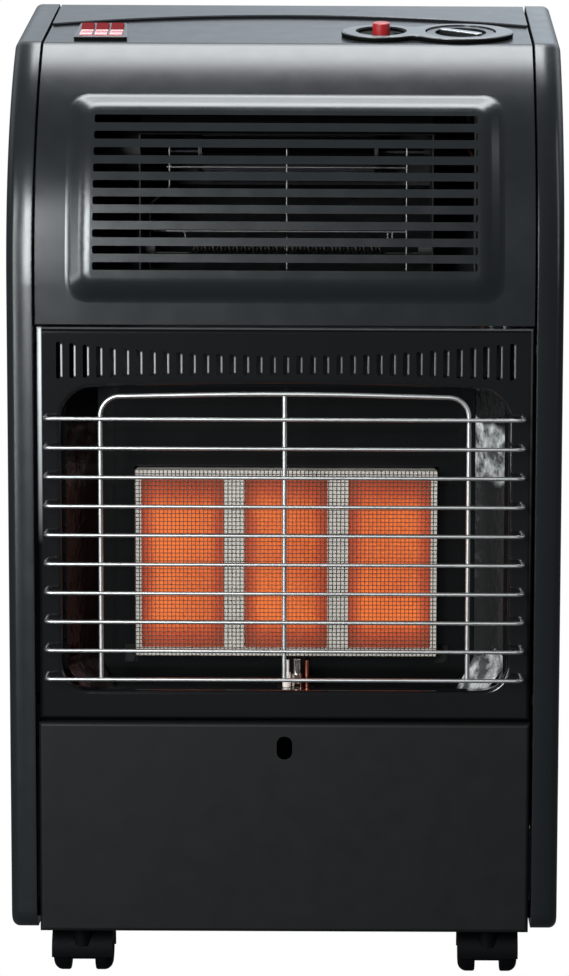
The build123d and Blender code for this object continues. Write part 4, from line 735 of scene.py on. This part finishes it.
def dress_warm_air_section():
    # the impeller and the duct behind the louvres are painted near black: painted shade of the dark inside
    impeller_metal = metal("impeller_aluminium", colour=(0.06, 0.06, 0.065), rough=0.4, stretch=(8, 1, 1))
    dress(impeller_metal, "fan_impeller")
    dress(metal("duct_sheet", colour=(0.035, 0.035, 0.036), rough=0.6), "fan_housing")
    dress(metal("element_wire", colour=(0.2, 0.195, 0.19), rough=0.38), "element_frame")
    dress(metal("coil_wire", colour=(0.07, 0.065, 0.06), rough=0.5), "heating_coil")
    dress(plastic("holder_ceramic", colour=(0.014, 0.013, 0.012), rough=0.6), "element_holders")
    dress(plastic("motor_black", colour=grey(0.01), rough=0.5), "fan_motor")


def dress_controls():
    dress(bezel_plastic("console_plastic", console_top), "control_bezel")
    dress(bezel_plastic("switch_frame_plastic", switch_top), "switch_bezel")
    dress(rocker_red(), "rocker_left", "rocker_centre", "rocker_right")
    dress(knob_plastic(), "gas_knob")
    dress(plastic("button_red", colour=(0.3, 0.012, 0.014), rough=0.35, coat=0.15), "igniter_button")
    dress(plastic("well_black", colour=grey(0.003), rough=0.7, specular=0.1), "igniter_body")
    dress(plastic("switch_black", colour=grey(0.02), rough=0.5), "switch_bodies")
    dress(plastic("lead_sleeve", colour=grey(0.012), rough=0.55), "ignition_lead", "mains_gland")


# ---------------------------------------------------------------- studio
WHITE = (1.0, 1.0, 1.0)
OVERHEAD_TINT = (0.93, 0.97, 1.0)
FRONT_TINT = (0.93, 0.98, 1.0)
ROOM_TINT = (0.82, 0.91, 1.0)
ROOM_LEVEL = 0.1
SWEEP_LEFT = 0.75
SWEEP_RIGHT = 1.25
# between which parts of the direction that light comes from the sweep fades in and turns brighter
SWEEP_BEHIND = (-0.1, 0.75)
SWEEP_ABOVE = (0.02, 0.3)
SWEEP_TURN = (-0.12, 0.1)


def softbox(name, place, target, size, power, tint=WHITE):
    """A rectangular light at place that faces target; size is its width and its height in metres."""
    data = bpy.data.lights.new(name, "AREA")
    data.shape = "RECTANGLE"
    data.size, data.size_y = size
    data.energy = power
    data.color = tint
    light = bpy.data.objects.new(name, data)
    scene.collection.objects.link(light)
    light.location = place
    way = Vector(target) - Vector(place)
    light.rotation_euler = way.to_track_quat("-Z", "Y").to_euler()


def sweep_light(world):
    """How bright the room is in each direction: a soft sweep behind the heater, brighter on the right."""
    way = world.new("ShaderNodeTexCoord").outputs["Generated"]

    def ease(letter, limits, low, high):
        return world.span(world.part(way, letter), *limits, low, high, interpolation_type="SMOOTHSTEP")

    sweep = world.product(
        ease("Y", SWEEP_BEHIND, 0.0, 1.0),
        ease("Z", SWEEP_ABOVE, 0.0, 1.0),
        ease("X", SWEEP_TURN, SWEEP_LEFT, SWEEP_RIGHT),
    )
    return world.math("ADD", sweep, ROOM_LEVEL)


def backdrop():
    """White to the camera, and to the surfaces a bright sweep behind the heater in a dim room."""
    scene.world = scene.world or bpy.data.worlds.new("studio")
    scene.world.use_nodes = True
    world = NodeTree(scene.world.node_tree)
    world.tree.nodes.clear()
    seen = world.new("ShaderNodeBackground")
    world.give(seen.inputs["Color"], WHITE)
    felt = world.new("ShaderNodeBackground")
    world.give(felt.inputs["Color"], ROOM_TINT)
    world.give(felt.inputs["Strength"], sweep_light(world))
    camera_ray = world.new("ShaderNodeLightPath").outputs["Is Camera Ray"]
    swap = world.new("ShaderNodeMixShader")
    for socket, output in zip(swap.inputs, (camera_ray, felt.outputs[0], seen.outputs[0])):
        world.give(socket, output)
    world.give(world.new("ShaderNodeOutputWorld").inputs["Surface"], swap.outputs[0])


def light_softboxes():
    softbox("overhead", place=(0.0, 0.14, 2.6), target=(0.0, 0.14, 0.0), size=(1.7, 0.72), power=52.0,
            tint=OVERHEAD_TINT)
    softbox("overhead_rear", place=(0.0, 0.9, 2.6), target=(0.0, 0.9, 0.0), size=(1.7, 0.8), power=22.0,
            tint=OVERHEAD_TINT)
    softbox("key", place=(-1.0, -2.5, 1.15), target=(-0.05, -0.15, 0.5), size=(0.8, 1.4), power=86.0,
            tint=FRONT_TINT)
    softbox("left_strip", place=(-1.95, -1.55, 0.85), target=(-0.15, -0.19, 0.6), size=(0.4, 1.5), power=21.0,
            tint=FRONT_TINT)
    softbox("edge", place=(1.9, -0.6, 1.2), target=(0.1, 0.0, 0.5), size=(0.5, 1.4), power=5.0)


# ---------------------------------------------------------------- the whole picture
scene.view_settings.view_transform = "Standard"
make_camera()
dress_cabinet()
dress_burner()
dress_gas_line()
dress_warm_air_section()
dress_controls()
woven_screen()
backdrop()
light_softboxes()
